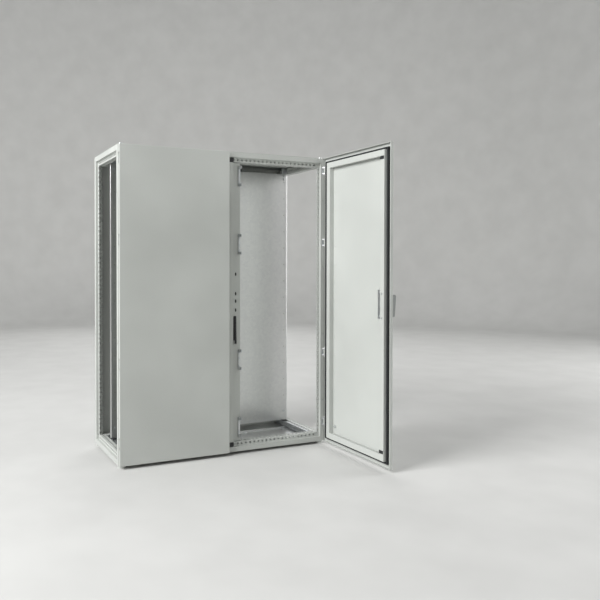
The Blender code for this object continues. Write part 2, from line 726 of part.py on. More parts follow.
def build_centre_strip():
    """The folded strip on the left door's free edge: a land to seal on and a recess with keepers."""
    wall = STRIP_SHEET
    start_along = TUBE_FREE_SIDE - TUBE_WIDTH + TUBE_WALL
    flange = TUBE_BACK + CLEARANCE
    land = AXIS_TO_FRAME
    back = RECESS_FACE + STRIP_RETURN
    outline = [
        (start_along, flange), (LAND_START, flange), (LAND_START, land), (LAND_END, land),
        (LAND_END, RECESS_FACE), (RECESS_END, RECESS_FACE), (RECESS_END, back),
        (RECESS_END - wall, back), (RECESS_END - wall, RECESS_FACE + wall),
        (LAND_END - wall, RECESS_FACE + wall), (LAND_END - wall, land + wall),
        (LAND_START + wall, land + wall), (LAND_START + wall, flange + wall), (start_along, flange + wall),
    ]
    length = STRIP_HIGH - STRIP_LOW
    strip = prism("left_door_strip", [outline], length, ALONG_Z, (0, 0, STRIP_LOW), POWDER_COAT, LEFT_AXIS)
    for number, height in enumerate(keeper_heights(), start=1):
        add_keeper(strip, number, height)
    add_lever_cheeks(strip)
    return strip


def keeper_heights():
    """Heights of the keepers' middles."""
    return [*KEEPERS_FROM_ENDS, *(HEIGHT - drop for drop in KEEPERS_FROM_ENDS)]


def add_keeper(strip, number, height):
    """A low bridge with a taller clip at each end, welded in the strip's recess."""
    high_along = RECESS_END - KEEPER_FROM_EDGE
    along = (high_along - KEEPER_WIDTH, high_along)
    bridge_depth = (RECESS_FACE - KEEPER_BRIDGE, RECESS_FACE + STRIP_SHEET / 2)
    span = (height - KEEPER_HALF, height + KEEPER_HALF)
    join(strip, leaf_block(f"keeper_{number}", 1, along, bridge_depth, span, None, LEFT_AXIS))
    clip_depth = (AXIS_TO_FRAME, RECESS_FACE - KEEPER_BRIDGE / 2)
    clips = (
        ("low", height - KEEPER_HALF + OVERLAP),
        ("high", height + KEEPER_HALF - OVERLAP - KEEPER_CLIP),
    )
    clip_along = (along[0] + OVERLAP, along[1] - OVERLAP)
    for end, low in clips:
        clip = leaf_block(
            f"keeper_{number}_{end}", 1, clip_along, clip_depth, (low, low + KEEPER_CLIP), None, LEFT_AXIS
        )
        join(strip, clip)


def lever_axis():
    """Where the left door's inner lever turns, in the door's measures."""
    return Vector((LAND_END + LEVER_FROM_LAND, RECESS_FACE - LEVER_SEAT - LEVER_RADIUS, LEVER_PIVOT_HEIGHT))


def add_lever_cheeks(strip):
    """Two cheeks and a pin that carry the lever."""
    axis = lever_axis()
    half = LEVER_WIDTH / 2 + CLEARANCE
    for end, start_along in (("left", axis.x - half - CHEEK_WIDTH), ("right", axis.x + half)):
        cheek = leaf_block(
            f"lever_cheek_{end}",
            1,
            (start_along, start_along + CHEEK_WIDTH),
            (axis.y - LEVER_RADIUS, RECESS_FACE + STRIP_SHEET / 2),
            (axis.z - LEVER_RADIUS, axis.z + LEVER_RADIUS),
            None,
            LEFT_AXIS,
        )
        join(strip, cheek)
    pin_from = (axis.x - half - CHEEK_WIDTH / 2, axis.y, axis.z)
    pin_length = 2 * half + CHEEK_WIDTH
    join(strip, round_bar("lever_pin", pin_from, pin_length, PIN_RADIUS, ALONG_X, None, LEFT_AXIS))


def build_lever():
    """The black inner lever, which lies up along the strip and swings out."""
    axis = lever_axis()
    tip = (LEVER_RADIUS - LEVER_TIP_RADIUS, LEVER_LENGTH - LEVER_TIP_RADIUS)
    outline = arc((0.0, 0.0), LEVER_RADIUS, -180, 0) + arc(tip, LEVER_TIP_RADIUS, 0, 180)
    middle = Vector((axis.x - LEVER_WIDTH / 2, axis.y, axis.z))
    lever = prism("left_door_lever", [outline], LEVER_WIDTH, ALONG_X, middle, BLACK_PLASTIC, LEFT_AXIS)
    bore_from = middle - Vector((OVERLAP, 0, 0))
    bore_length = LEVER_WIDTH + 2 * OVERLAP
    cut(lever, round_bar("lever_bore", bore_from, bore_length, PIN_BORE_RADIUS, ALONG_X, None, LEFT_AXIS))


def build_left_rods():
    """Two flat lock rods that slide behind the strip's recess."""
    outer = RECESS_END - STRIP_SHEET - LEFT_ROD_FROM_EDGE
    along = (outer - ROD_WIDTH, outer)
    front = RECESS_FACE + STRIP_SHEET + CLEARANCE
    depth = (front, front + ROD_SHEET)
    spans = (
        ("upper", LEVER_PIVOT_HEIGHT + LEFT_ROD_FROM_PIVOT, STRIP_HIGH),
        ("lower", STRIP_LOW, LEVER_PIVOT_HEIGHT - LEFT_ROD_FROM_PIVOT),
    )
    for end, low, high in spans:
        leaf_block(f"left_door_rod_{end}", 1, along, depth, (low, high), ZINC_PLATED, LEFT_AXIS)


# ---------------------------------------------------------------- right door lock


def right_block(name, along, depth, height, look):
    """A box in the right door's measures."""
    return leaf_block(name, -1, along, depth, height, look, RIGHT_AXIS)


def across(name, depth_from, length, radius, height, look=None, along=HANDLE_ALONG):
    """A round bar across the right door's sheet, from a depth inwards."""
    start_at = (-along, depth_from, height)
    return round_bar(name, start_at, length, radius, ALONG_Y, look, RIGHT_AXIS)


def build_handle():
    """The swing handle: base, turning boss, folding grip and push button."""
    half = HANDLE_BASE_WIDTH / 2
    span = (HANDLE_ALONG - half, HANDLE_ALONG + half)
    base = right_block("handle_base", span, (BASE_FRONT, BASE_BACK), (HANDLE_LOW, HANDLE_HIGH), DIE_CAST)
    pad_depth = (GRIP_BACK + CLEARANCE, BASE_FRONT + OVERLAP)
    pad_span = (HANDLE_ALONG - half / 2, HANDLE_ALONG + half / 2)
    join(base, right_block("handle_rest_pad", pad_span, pad_depth, (REST_PAD_LOW, REST_PAD_HIGH), None))
    base_bore = across(
        "handle_base_bore", BASE_FRONT - OVERLAP, HANDLE_BASE_THICKNESS + 2 * OVERLAP,
        SPINDLE_BORE_RADIUS, SPINDLE_HEIGHT,
    )
    cut(base, base_bore)
    well_depth = BUTTON_SEATED + BUTTON_TRAVEL + OVERLAP / 2
    well_radius = BUTTON_RADIUS + RUNNING
    cut(base, across("handle_well", BASE_FRONT - OVERLAP, well_depth + OVERLAP, well_radius, BUTTON_HEIGHT))

    button_length = BUTTON_PROUD + BUTTON_SEATED
    button_front = BASE_FRONT - BUTTON_PROUD
    across("handle_button", button_front, button_length, BUTTON_RADIUS, BUTTON_HEIGHT, ZINC_PLATED)

    boss = across("handle_boss", BOSS_FRONT, BOSS_THICKNESS, BOSS_RADIUS, SPINDLE_HEIGHT, DIE_CAST)
    spindle_from = BOSS_BACK - OVERLAP
    spindle_length = SPINDLE_END - spindle_from
    join(boss, across("handle_spindle", spindle_from, spindle_length, SPINDLE_RADIUS, SPINDLE_HEIGHT))
    tongue_span = (HANDLE_ALONG - TONGUE_WIDTH / 2, HANDLE_ALONG + TONGUE_WIDTH / 2)
    tongue_height = (SPINDLE_HEIGHT - TONGUE_HALF, SPINDLE_HEIGHT + TONGUE_HALF)
    tongue_depth = (GRIP_AXIS - TONGUE_HALF, BOSS_FRONT + OVERLAP)
    join(boss, right_block("handle_tongue", tongue_span, tongue_depth, tongue_height, None))
    cut(boss, grip_pin("handle_tongue_bore", GRIP_PIN_RADIUS + RUNNING))
    build_grip()


def grip_pin(name, radius):
    """A bar across the grip on its folding axis."""
    start_at = (-HANDLE_ALONG - GRIP_WIDTH / 2 + OVERLAP, GRIP_AXIS, SPINDLE_HEIGHT)
    return round_bar(name, start_at, GRIP_WIDTH - 2 * OVERLAP, radius, ALONG_X, None, RIGHT_AXIS)


def build_grip():
    """The folding grip: a tapered lever with a fork at its top over the boss's tongue."""
    reach = GRIP_LOW + GRIP_TIP_RADIUS - SPINDLE_HEIGHT
    tip_centre = (GRIP_TOP_RADIUS - GRIP_TIP_RADIUS, reach)
    outline = arc((0.0, 0.0), GRIP_TOP_RADIUS, 0, 180, 10) + arc(tip_centre, GRIP_TIP_RADIUS, 180, 360, 8)
    start_at = (-HANDLE_ALONG - GRIP_WIDTH / 2, GRIP_AXIS, SPINDLE_HEIGHT)
    grip = prism("handle_grip", [outline], GRIP_WIDTH, ALONG_X, start_at, DIE_CAST, RIGHT_AXIS)
    half = TONGUE_WIDTH / 2 + RUNNING
    fork = right_block(
        "handle_fork",
        (HANDLE_ALONG - half, HANDLE_ALONG + half),
        (GRIP_FRONT - OVERLAP, GRIP_BACK + OVERLAP),
        (SPINDLE_HEIGHT - FORK_DEPTH, SPINDLE_HEIGHT + GRIP_TOP_RADIUS + OVERLAP),
        None,
    )
    cut(grip, fork)
    join(grip, grip_pin("handle_pin", GRIP_PIN_RADIUS))


def build_lock():
    """The lock case in the tube's cut-out, and the two rods with rollers that it drives."""
    case_along = (CASE_OUTER - LOCK_CASE_WIDTH, CASE_OUTER)
    case_height = (LOCK_CASE_LOW, LOCK_CASE_HIGH)
    case = right_block("lock_case", case_along, (TUBE_FRONT, CASE_BACK), case_height, ZINC_PLATED)
    bore = across(
        "lock_case_bore", TUBE_FRONT - OVERLAP, SPINDLE_END - TUBE_FRONT + 2 * OVERLAP,
        SPINDLE_BORE_RADIUS, SPINDLE_HEIGHT,
    )
    cut(case, bore)
    channel = right_block(
        "lock_case_channel",
        (ROD_INNER - CLEARANCE, ROD_OUTER + CLEARANCE),
        (TUBE_FRONT - OVERLAP, ROD_FRONT + ROD_SHEET + CLEARANCE),
        (LOCK_CASE_LOW - OVERLAP, LOCK_CASE_HIGH + OVERLAP),
        None,
    )
    cut(case, channel)

    window_low = TUBE_LOW + TUBE_WIDTH + ROD_END_GAP
    window_high = TUBE_HIGH - TUBE_WIDTH - ROD_END_GAP
    build_rod("upper", SPINDLE_HEIGHT + ROD_FROM_SPINDLE, window_high)
    build_rod("lower", window_low, SPINDLE_HEIGHT - ROD_FROM_SPINDLE)


def build_rod(end, low, high):
    """A flat rod with the rollers that lie along it."""
    depth = (ROD_FRONT, ROD_FRONT + ROD_SHEET)
    rod = right_block(f"lock_rod_{end}", (ROD_INNER, ROD_OUTER), depth, (low, high), ZINC_PLATED)
    middle = (ROD_INNER + ROD_OUTER) / 2
    heights = [*ROLLERS_FROM_ENDS, *(HEIGHT - drop for drop in ROLLERS_FROM_ENDS)]
    clear_low = LOCK_CASE_HIGH if end == "upper" else low
    clear_high = high if end == "upper" else LOCK_CASE_LOW
    margin = 2 * ROLLER_RADIUS
    for number, height in enumerate(sorted(heights), start=1):
        if clear_low + margin < height < clear_high - margin:
            roller = across(
                f"lock_roller_{number}", ROD_FRONT + ROD_SHEET / 2, ROLLER_LENGTH + ROD_SHEET / 2,
                ROLLER_RADIUS, height, along=middle,
            )
            join(rod, roller)


def cut_right_door():
    """Openings for the lock in the right door's sheet and tubular frame."""
    shell = bpy.data.objects["right_door_shell"]
    hole_from = PAN_FRONT - OVERLAP
    hole_length = SHEET + 2 * OVERLAP
    cut(shell, across("spindle_hole", hole_from, hole_length, SHEET_HOLE_RADIUS, SPINDLE_HEIGHT))
    tube = bpy.data.objects["right_door_frame"]
    pocket = right_block(
        "right_door_lock_pocket",
        (TUBE_FREE_SIDE - TUBE_WIDTH - OVERLAP, TUBE_FREE_SIDE + OVERLAP),
        (TUBE_FRONT - OVERLAP, CASE_BACK + CLEARANCE),
        (LOCK_CASE_LOW - CLEARANCE, LOCK_CASE_HIGH + CLEARANCE),
        None,
    )
    cut(tube, pocket)


# ---------------------------------------------------------------- assembly

CABINET = axis_empty("cabinet_corner", -ORIGIN)
LEFT_AXIS = axis_empty("left_door_axis", (HINGE_INSET, -AXIS_TO_FRAME, 0.0), CABINET)
RIGHT_AXIS = axis_empty(
    "right_door_axis", (WIDTH - HINGE_INSET, -AXIS_TO_FRAME, 0.0), CABINET, RIGHT_DOOR_REST
)

build_posts()
build_rails()
build_corners()
build_roof()
build_rear_panel()
build_mounting_plate()
build_plate_supports()
build_gland_plates()
build_hinge_brackets()
for door_name, door_side, door_axis in (("left_door", 1, LEFT_AXIS), ("right_door", -1, RIGHT_AXIS)):
    build_door_shell(door_name + "_shell", door_side, door_axis)
    build_tubular_frame(door_name + "_frame", door_side, door_axis)
    build_gasket(door_name + "_gasket", door_side, door_axis)
build_centre_strip()
build_lever()
build_left_rods()
build_handle()
build_lock()
cut_right_door()
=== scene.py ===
"""Fine shapes, finishes and a plain studio for the two-door switchboard cabinet.

Everything is in metres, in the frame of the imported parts. Pieces of the frame and the inside
are placed by the boxes of the parts they stand for; pieces of a door are drawn in the door's
own measures: along the leaf from its hinge axis, depth (the outside is negative) and height
above the underside of the cabinet's frame.
"""

import json
import logging
import math
from collections.abc import Callable, Sequence
from dataclasses import dataclass, field
from enum import Enum

import bmesh
import bpy
from mathutils import Matrix, Vector


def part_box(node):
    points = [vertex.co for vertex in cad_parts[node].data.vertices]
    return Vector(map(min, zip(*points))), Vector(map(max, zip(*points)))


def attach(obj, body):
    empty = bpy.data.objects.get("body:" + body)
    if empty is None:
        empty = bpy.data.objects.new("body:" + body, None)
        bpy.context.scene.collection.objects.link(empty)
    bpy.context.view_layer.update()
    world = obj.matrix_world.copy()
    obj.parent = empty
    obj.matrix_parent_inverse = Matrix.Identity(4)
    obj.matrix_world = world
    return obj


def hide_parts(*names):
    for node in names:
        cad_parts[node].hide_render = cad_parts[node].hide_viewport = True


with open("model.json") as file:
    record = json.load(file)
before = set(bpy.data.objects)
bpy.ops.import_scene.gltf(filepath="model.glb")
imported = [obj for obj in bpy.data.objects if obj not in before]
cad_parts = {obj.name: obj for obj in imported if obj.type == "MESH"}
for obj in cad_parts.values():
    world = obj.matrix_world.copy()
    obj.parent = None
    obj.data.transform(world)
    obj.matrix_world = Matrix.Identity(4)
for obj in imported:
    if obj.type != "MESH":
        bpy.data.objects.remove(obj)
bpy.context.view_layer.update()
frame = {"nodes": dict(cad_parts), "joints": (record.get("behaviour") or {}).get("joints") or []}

LOG = logging.getLogger("switchboard_cabinet")
MM = 0.001
# How far apart points still count as one, and how far off a level a face still lies on it.
SAME = 1e-7
ON_LEVEL = 1e-4
# Folds below the first are smoothed away, above the second shade sharp, above the third are rounded.
FLAT_FOLD = math.radians(1)
SHARP_FOLD = math.radians(30)
ROUNDED_FOLD = math.radians(32.0)
Point = Sequence[float]
X, Y, Z = (1, 0, 0), (0, 1, 0), (0, 0, 1)
ROWS = ("front", "rear")
SIDES = ("left", "right")


class Slot(Enum):
    """The record's material slots."""

    POWDER_COAT = "powder_coat"
    GALVANISED = "galvanised_sheet"
    ZINC = "zinc_plated"
    POLYAMIDE = "black_plastic"
    FOAM = "foam_gasket"
    DIE_CAST = "die_cast_handle"


class Side(Enum):
    """The two doors."""

    LEFT = "left"
    RIGHT = "right"


# ------------------------------------------------------------------ finishes


def linear(code: str) -> tuple[float, float, float, float]:
    """Turns an sRGB hex colour into the linear colour that shaders take.

    Args:
        code: six hex digits after a hash.

    Returns:
        Red, green, blue and an alpha of 1.
    """
    parts = [int(code[place:place + 2], 16) / 255 for place in (1, 3, 5)]
    bent = [part / 12.92 if part <= 0.04045 else ((part + 0.055) / 1.055) ** 2.4 for part in parts]
    return (*bent, 1.0)


def per_metre(size_mm: float) -> float:
    """The texture scale at which one feature is so many millimetres across."""
    return 1.0 / (size_mm * MM)


def add_node(
    tree: bpy.types.NodeTree,
    kind: str,
    settings: dict[str, object] | None = None,
    sockets: dict[str | int, object] | None = None,
    stops: Sequence[tuple[float, str]] = (),
) -> bpy.types.Node:
    """Adds a shader node with its settings, values and links.

    Args:
        tree: the material's node tree.
        kind: the node's type.
        settings: the node's own properties.
        sockets: for each input a value, or an output to link to it.
        stops: for a colour ramp, places from 0 to 1 with their sRGB colours.

    Returns:
        The new node.
    """
    node = tree.nodes.new(kind)
    for name, value in (settings or {}).items():
        setattr(node, name, value)
    for number, (place, code) in enumerate(stops):
        band = node.color_ramp.elements
        element = band[number] if number < len(band) else band.new(place)
        element.position = place
        element.color = linear(code)
    for name, value in (sockets or {}).items():
        if isinstance(value, bpy.types.NodeSocket):
            tree.links.new(value, node.inputs[name])
        else:
            node.inputs[name].default_value = value
    return node


@dataclass(frozen=True)
class Finish:
    """What every finish shares: its name, and the shader that it ends in."""

    name: str

    def begin(
        self,
    ) -> tuple[bpy.types.Material, bpy.types.NodeTree, bpy.types.Node, bpy.types.NodeSocket]:
        """Makes the empty material.

        Returns:
            The material, its tree, its Principled shader and the object coordinates.
        """
        material = bpy.data.materials.new(self.name)
        material.use_nodes = True
        tree = material.node_tree
        shader = tree.nodes["Principled BSDF"]
        place = add_node(tree, "ShaderNodeTexCoord").outputs["Object"]
        return material, tree, shader, place

    def build(self) -> bpy.types.Material:
        """Makes the material.

        Returns:
            The finished material.
        """
        raise NotImplementedError


@dataclass(frozen=True)
class PolyesterPowderCoat(Finish):
    """Light grey polyester powder, sprayed and baked: a satin film with a fine orange peel."""

    name: str = "light_grey_polyester_powder_coat"
    colour: str = "#C4C7C3"
    deeper: str = "#BBBEBA"
    peel_mm: float = 3.5
    drift_mm: float = 420.0

    def build(self) -> bpy.types.Material:
        """Makes the material.

        Returns:
            A pale satin coat. Its peel is really 1 to 2 mm; it is drawn at 3.5 mm, so that it
            still softens reflections from across a room.
        """
        material, tree, shader, place = self.begin()
        drift = add_node(
            tree, "ShaderNodeTexNoise",
            sockets={"Vector": place, "Scale": per_metre(self.drift_mm), "Detail": 2.0},
        )
        peel = add_node(
            tree, "ShaderNodeTexNoise",
            sockets={"Vector": place, "Scale": per_metre(self.peel_mm), "Detail": 1.5, "Roughness": 0.45},
        )
        colour = add_node(
            tree, "ShaderNodeValToRGB", sockets={"Fac": drift.outputs["Fac"]},
            stops=((0.35, self.deeper), (0.65, self.colour)),
        )
        grain = add_node(
            tree, "ShaderNodeMix", {"data_type": "RGBA", "blend_type": "MULTIPLY"},
            {"Factor": 0.10, "A": colour.outputs["Color"], "B": peel.outputs["Color"]},
        )
        tree.links.new(grain.outputs["Result"], shader.inputs["Base Color"])
        gloss = add_node(
            tree, "ShaderNodeMapRange",
            sockets={
                "Value": peel.outputs["Fac"],
                "From Min": 0.3, "From Max": 0.7, "To Min": 0.33, "To Max": 0.43,
            },
        )
        tree.links.new(gloss.outputs["Result"], shader.inputs["Roughness"])
        bump = add_node(
            tree, "ShaderNodeBump",
            sockets={"Height": peel.outputs["Fac"], "Strength": 0.16, "Distance": 0.0004},
        )
        tree.links.new(bump.outputs["Normal"], shader.inputs["Normal"])
        shader.inputs["IOR"].default_value = 1.5
        return material


@dataclass(frozen=True)
class HotDipGalvanised(Finish):
    """Hot-dip galvanised sheet: a soft grey metal with faint zinc flowers and rolling lines."""

    name: str = "hot_dip_galvanised_steel_sheet"
    bright: str = "#D6D7D6"
    dull: str = "#D0D1D1"
    flower_mm: float = 14.0
    rolling_mm: float = 2.5
    rolling_stretch: float = 0.02

    def build(self) -> bpy.types.Material:
        """Makes the material.

        Returns:
            A metal whose gloss changes from one zinc flower to the next, with fine upright
            rolling lines. Flowers on skin-passed sheet are 3 to 8 mm; they are drawn at 14 mm.
            Rolling lines are really 0.1 to 0.5 mm apart; they are drawn at 2.5 mm.
        """
        material, tree, shader, place = self.begin()
        flowers = add_node(
            tree, "ShaderNodeTexVoronoi", {"feature": "F1"},
            {"Vector": place, "Scale": per_metre(self.flower_mm), "Randomness": 1.0},
        )
        tone = add_node(
            tree, "ShaderNodeSeparateColor", sockets={"Color": flowers.outputs["Color"]}
        ).outputs["Red"]
        tint = add_node(
            tree, "ShaderNodeValToRGB", sockets={"Fac": tone},
            stops=((0.0, self.dull), (1.0, self.bright)),
        )
        tree.links.new(tint.outputs["Color"], shader.inputs["Base Color"])
        stretched = add_node(
            tree, "ShaderNodeMapping",
            sockets={"Vector": place, "Scale": (1.0, 1.0, self.rolling_stretch)},
        )
        lines = add_node(
            tree, "ShaderNodeTexNoise",
            sockets={
                "Vector": stretched.outputs["Vector"], "Scale": per_metre(self.rolling_mm), "Detail": 2.0,
            },
        )
        mixed = add_node(
            tree, "ShaderNodeMath", {"operation": "MULTIPLY_ADD"},
            {0: tone, 1: 0.3, 2: lines.outputs["Fac"]},
        )
        gloss = add_node(
            tree, "ShaderNodeMapRange",
            sockets={
                "Value": mixed.outputs["Value"],
                "From Min": 0.3, "From Max": 1.0, "To Min": 0.30, "To Max": 0.35,
            },
        )
        tree.links.new(gloss.outputs["Result"], shader.inputs["Roughness"])
        bump = add_node(
            tree, "ShaderNodeBump",
            sockets={"Height": lines.outputs["Fac"], "Strength": 0.06, "Distance": 0.0002},
        )
        tree.links.new(bump.outputs["Normal"], shader.inputs["Normal"])
        shader.inputs["Metallic"].default_value = 1.0
        return material


@dataclass(frozen=True)
class BrightZincPlate(Finish):
    """Electroplated zinc with a clear passivation: brighter and smoother than galvanised sheet."""

    name: str = "bright_zinc_plated_steel"
    bright: str = "#D2D4D4"
    cloud: str = "#C0C4C7"
    cloud_mm: float = 22.0
    grain_mm: float = 1.6

    def build(self) -> bpy.types.Material:
        """Makes the material.

        Returns:
            A bright metal with faint bluish clouds, and a drawn grain of the steel below. The
            grain is really 0.1 to 0.3 mm; it is drawn at 1.6 mm, so that it shows at all.
        """
        material, tree, shader, place = self.begin()
        clouds = add_node(
            tree, "ShaderNodeTexNoise",
            sockets={"Vector": place, "Scale": per_metre(self.cloud_mm), "Detail": 3.0},
        )
        tint = add_node(
            tree, "ShaderNodeValToRGB", sockets={"Fac": clouds.outputs["Fac"]},
            stops=((0.35, self.cloud), (0.62, self.bright)),
        )
        tree.links.new(tint.outputs["Color"], shader.inputs["Base Color"])
        grain = add_node(
            tree, "ShaderNodeTexNoise",
            sockets={"Vector": place, "Scale": per_metre(self.grain_mm), "Detail": 2.0},
        )
        gloss = add_node(
            tree, "ShaderNodeMapRange",
            sockets={
                "Value": grain.outputs["Fac"],
                "From Min": 0.3, "From Max": 0.7, "To Min": 0.36, "To Max": 0.46,
            },
        )
        tree.links.new(gloss.outputs["Result"], shader.inputs["Roughness"])
        bump = add_node(
            tree, "ShaderNodeBump",
            sockets={"Height": grain.outputs["Fac"], "Strength": 0.10, "Distance": 0.0002},
        )
        tree.links.new(bump.outputs["Normal"], shader.inputs["Normal"])
        shader.inputs["Metallic"].default_value = 1.0
        return material


@dataclass(frozen=True)
class MouldedPolyamide(Finish):
    """Black glass-filled polyamide, injection moulded: matt, with a fine spark-eroded grain."""

    name: str = "moulded_black_polyamide"
    colour: str = "#1C1D1F"
    rubbed: str = "#26282A"
    grain_mm: float = 1.2

    def build(self) -> bpy.types.Material:
        """Makes the material.

        Returns:
            A matt black whose grain breaks up reflections. The grain is really 0.2 mm; it is
            drawn at 1.2 mm.
        """
        material, tree, shader, place = self.begin()
        grain = add_node(
            tree, "ShaderNodeTexNoise",
            sockets={"Vector": place, "Scale": per_metre(self.grain_mm), "Detail": 3.0, "Roughness": 0.6},
        )
        tint = add_node(
            tree, "ShaderNodeValToRGB", sockets={"Fac": grain.outputs["Fac"]},
            stops=((0.4, self.colour), (0.7, self.rubbed)),
        )
        tree.links.new(tint.outputs["Color"], shader.inputs["Base Color"])
        gloss = add_node(
            tree, "ShaderNodeMapRange",
            sockets={"Value": grain.outputs["Fac"], "To Min": 0.48, "To Max": 0.62},
        )
        tree.links.new(gloss.outputs["Result"], shader.inputs["Roughness"])
        bump = add_node(
            tree, "ShaderNodeBump",
            sockets={"Height": grain.outputs["Fac"], "Strength": 0.25, "Distance": 0.0003},
        )
        tree.links.new(bump.outputs["Normal"], shader.inputs["Normal"])
        shader.inputs["IOR"].default_value = 1.53
        return material


@dataclass(frozen=True)
class FoamedPolyurethane(Finish):
    """Polyurethane foam poured onto the sheet: charcoal, dry and pitted by its cells."""

    name: str = "poured_polyurethane_foam"
    skin: str = "#303234"
    cell: str = "#1D1F20"
    cell_mm: float = 2.2

    def build(self) -> bpy.types.Material:
        """Makes the material.

        Returns:
            A dry dark skin with small pits. The cells are really 0.5 mm; they are drawn at
            2.2 mm.
        """
        material, tree, shader, place = self.begin()
        cells = add_node(
            tree, "ShaderNodeTexVoronoi", {"feature": "DISTANCE_TO_EDGE"},
            {"Vector": place, "Scale": per_metre(self.cell_mm)},
        )
        tint = add_node(
            tree, "ShaderNodeValToRGB", sockets={"Fac": cells.outputs["Distance"]},
            stops=((0.02, self.cell), (0.25, self.skin)),
        )
        tree.links.new(tint.outputs["Color"], shader.inputs["Base Color"])
        dryness = add_node(
            tree, "ShaderNodeMapRange",
            sockets={"Value": cells.outputs["Distance"], "From Max": 0.4, "To Min": 0.95, "To Max": 0.82},
        )
        tree.links.new(dryness.outputs["Result"], shader.inputs["Roughness"])
        bump = add_node(
            tree, "ShaderNodeBump",
            sockets={"Height": cells.outputs["Distance"], "Strength": 0.5, "Distance": 0.0006},
        )
        tree.links.new(bump.outputs["Normal"], shader.inputs["Normal"])
        return material


@dataclass(frozen=True)
class PaintedDieCast(Finish):
    """Zinc die casting with a textured grey paint, as on a swing handle."""

    name: str = "painted_zinc_die_casting"
    colour: str = "#8E9190"
    high_spot: str = "#A2A5A3"
    texture_mm: float = 1.8

    def build(self) -> bpy.types.Material:
        """Makes the material.

        Returns:
            A mid grey film with a leathery texture and slightly lighter high spots. The
            texture is really about 1 mm; it is drawn at 1.8 mm.
        """
        material, tree, shader, place = self.begin()
        texture = add_node(
            tree, "ShaderNodeTexNoise",
            sockets={
                "Vector": place, "Scale": per_metre(self.texture_mm), "Detail": 2.5, "Distortion": 0.4,
            },
        )
        tint = add_node(
            tree, "ShaderNodeValToRGB", sockets={"Fac": texture.outputs["Fac"]},
            stops=((0.42, self.colour), (0.66, self.high_spot)),
        )
        tree.links.new(tint.outputs["Color"], shader.inputs["Base Color"])
        gloss = add_node(
            tree, "ShaderNodeMapRange",
            sockets={"Value": texture.outputs["Fac"], "To Min": 0.34, "To Max": 0.50},
        )
        tree.links.new(gloss.outputs["Result"], shader.inputs["Roughness"])
        bump = add_node(
            tree, "ShaderNodeBump",
            sockets={"Height": texture.outputs["Fac"], "Strength": 0.30, "Distance": 0.0003},
        )
        tree.links.new(bump.outputs["Normal"], shader.inputs["Normal"])
        return material


@dataclass(frozen=True)
class PaleScreed(Finish):
    """The studio's floor and wall: rolled matt paint, evenly pale."""

    name: str = "rolled_matt_studio_paint"
    colour: str = "#D0D0CE"
    shade: str = "#CACAC8"
    roller_mm: float = 300.0

    def build(self) -> bpy.types.Material:
        """Makes the material.

        Returns:
            A pale matt ground, with the faint drift that a roller leaves.
        """
        material, tree, shader, place = self.begin()
        roller = add_node(
            tree, "ShaderNodeTexNoise",
            sockets={"Vector": place, "Scale": per_metre(self.roller_mm), "Detail": 2.0},
        )
        tint = add_node(
            tree, "ShaderNodeValToRGB", sockets={"Fac": roller.outputs["Fac"]},
            stops=((0.3, self.shade), (0.7, self.colour)),
        )
        tree.links.new(tint.outputs["Color"], shader.inputs["Base Color"])
        shader.inputs["Roughness"].default_value = 0.75
        return material


class Finishes:
    """The cabinet's finishes, each made once, by the record's slot."""

    def __init__(self) -> None:
        """Makes every finish."""
        self.by_slot: dict[Slot, bpy.types.Material] = {
            Slot.POWDER_COAT: PolyesterPowderCoat().build(),
            Slot.GALVANISED: HotDipGalvanised().build(),
            Slot.ZINC: BrightZincPlate().build(),
            Slot.POLYAMIDE: MouldedPolyamide().build(),
            Slot.FOAM: FoamedPolyurethane().build(),
            Slot.DIE_CAST: PaintedDieCast().build(),
        }


FINISHES = Finishes()


# ------------------------------------------------------------------ shaping


@dataclass(frozen=True)
class Hole:
    """A punched hole of a row: its size along and across the row, and how round its corners are."""

    pitch: float = 0.025
    length: float = 0.010
    width: float = 0.010
    corner: float = 0.7071
    wall: float = 0.002
    margin: float = 0.0015


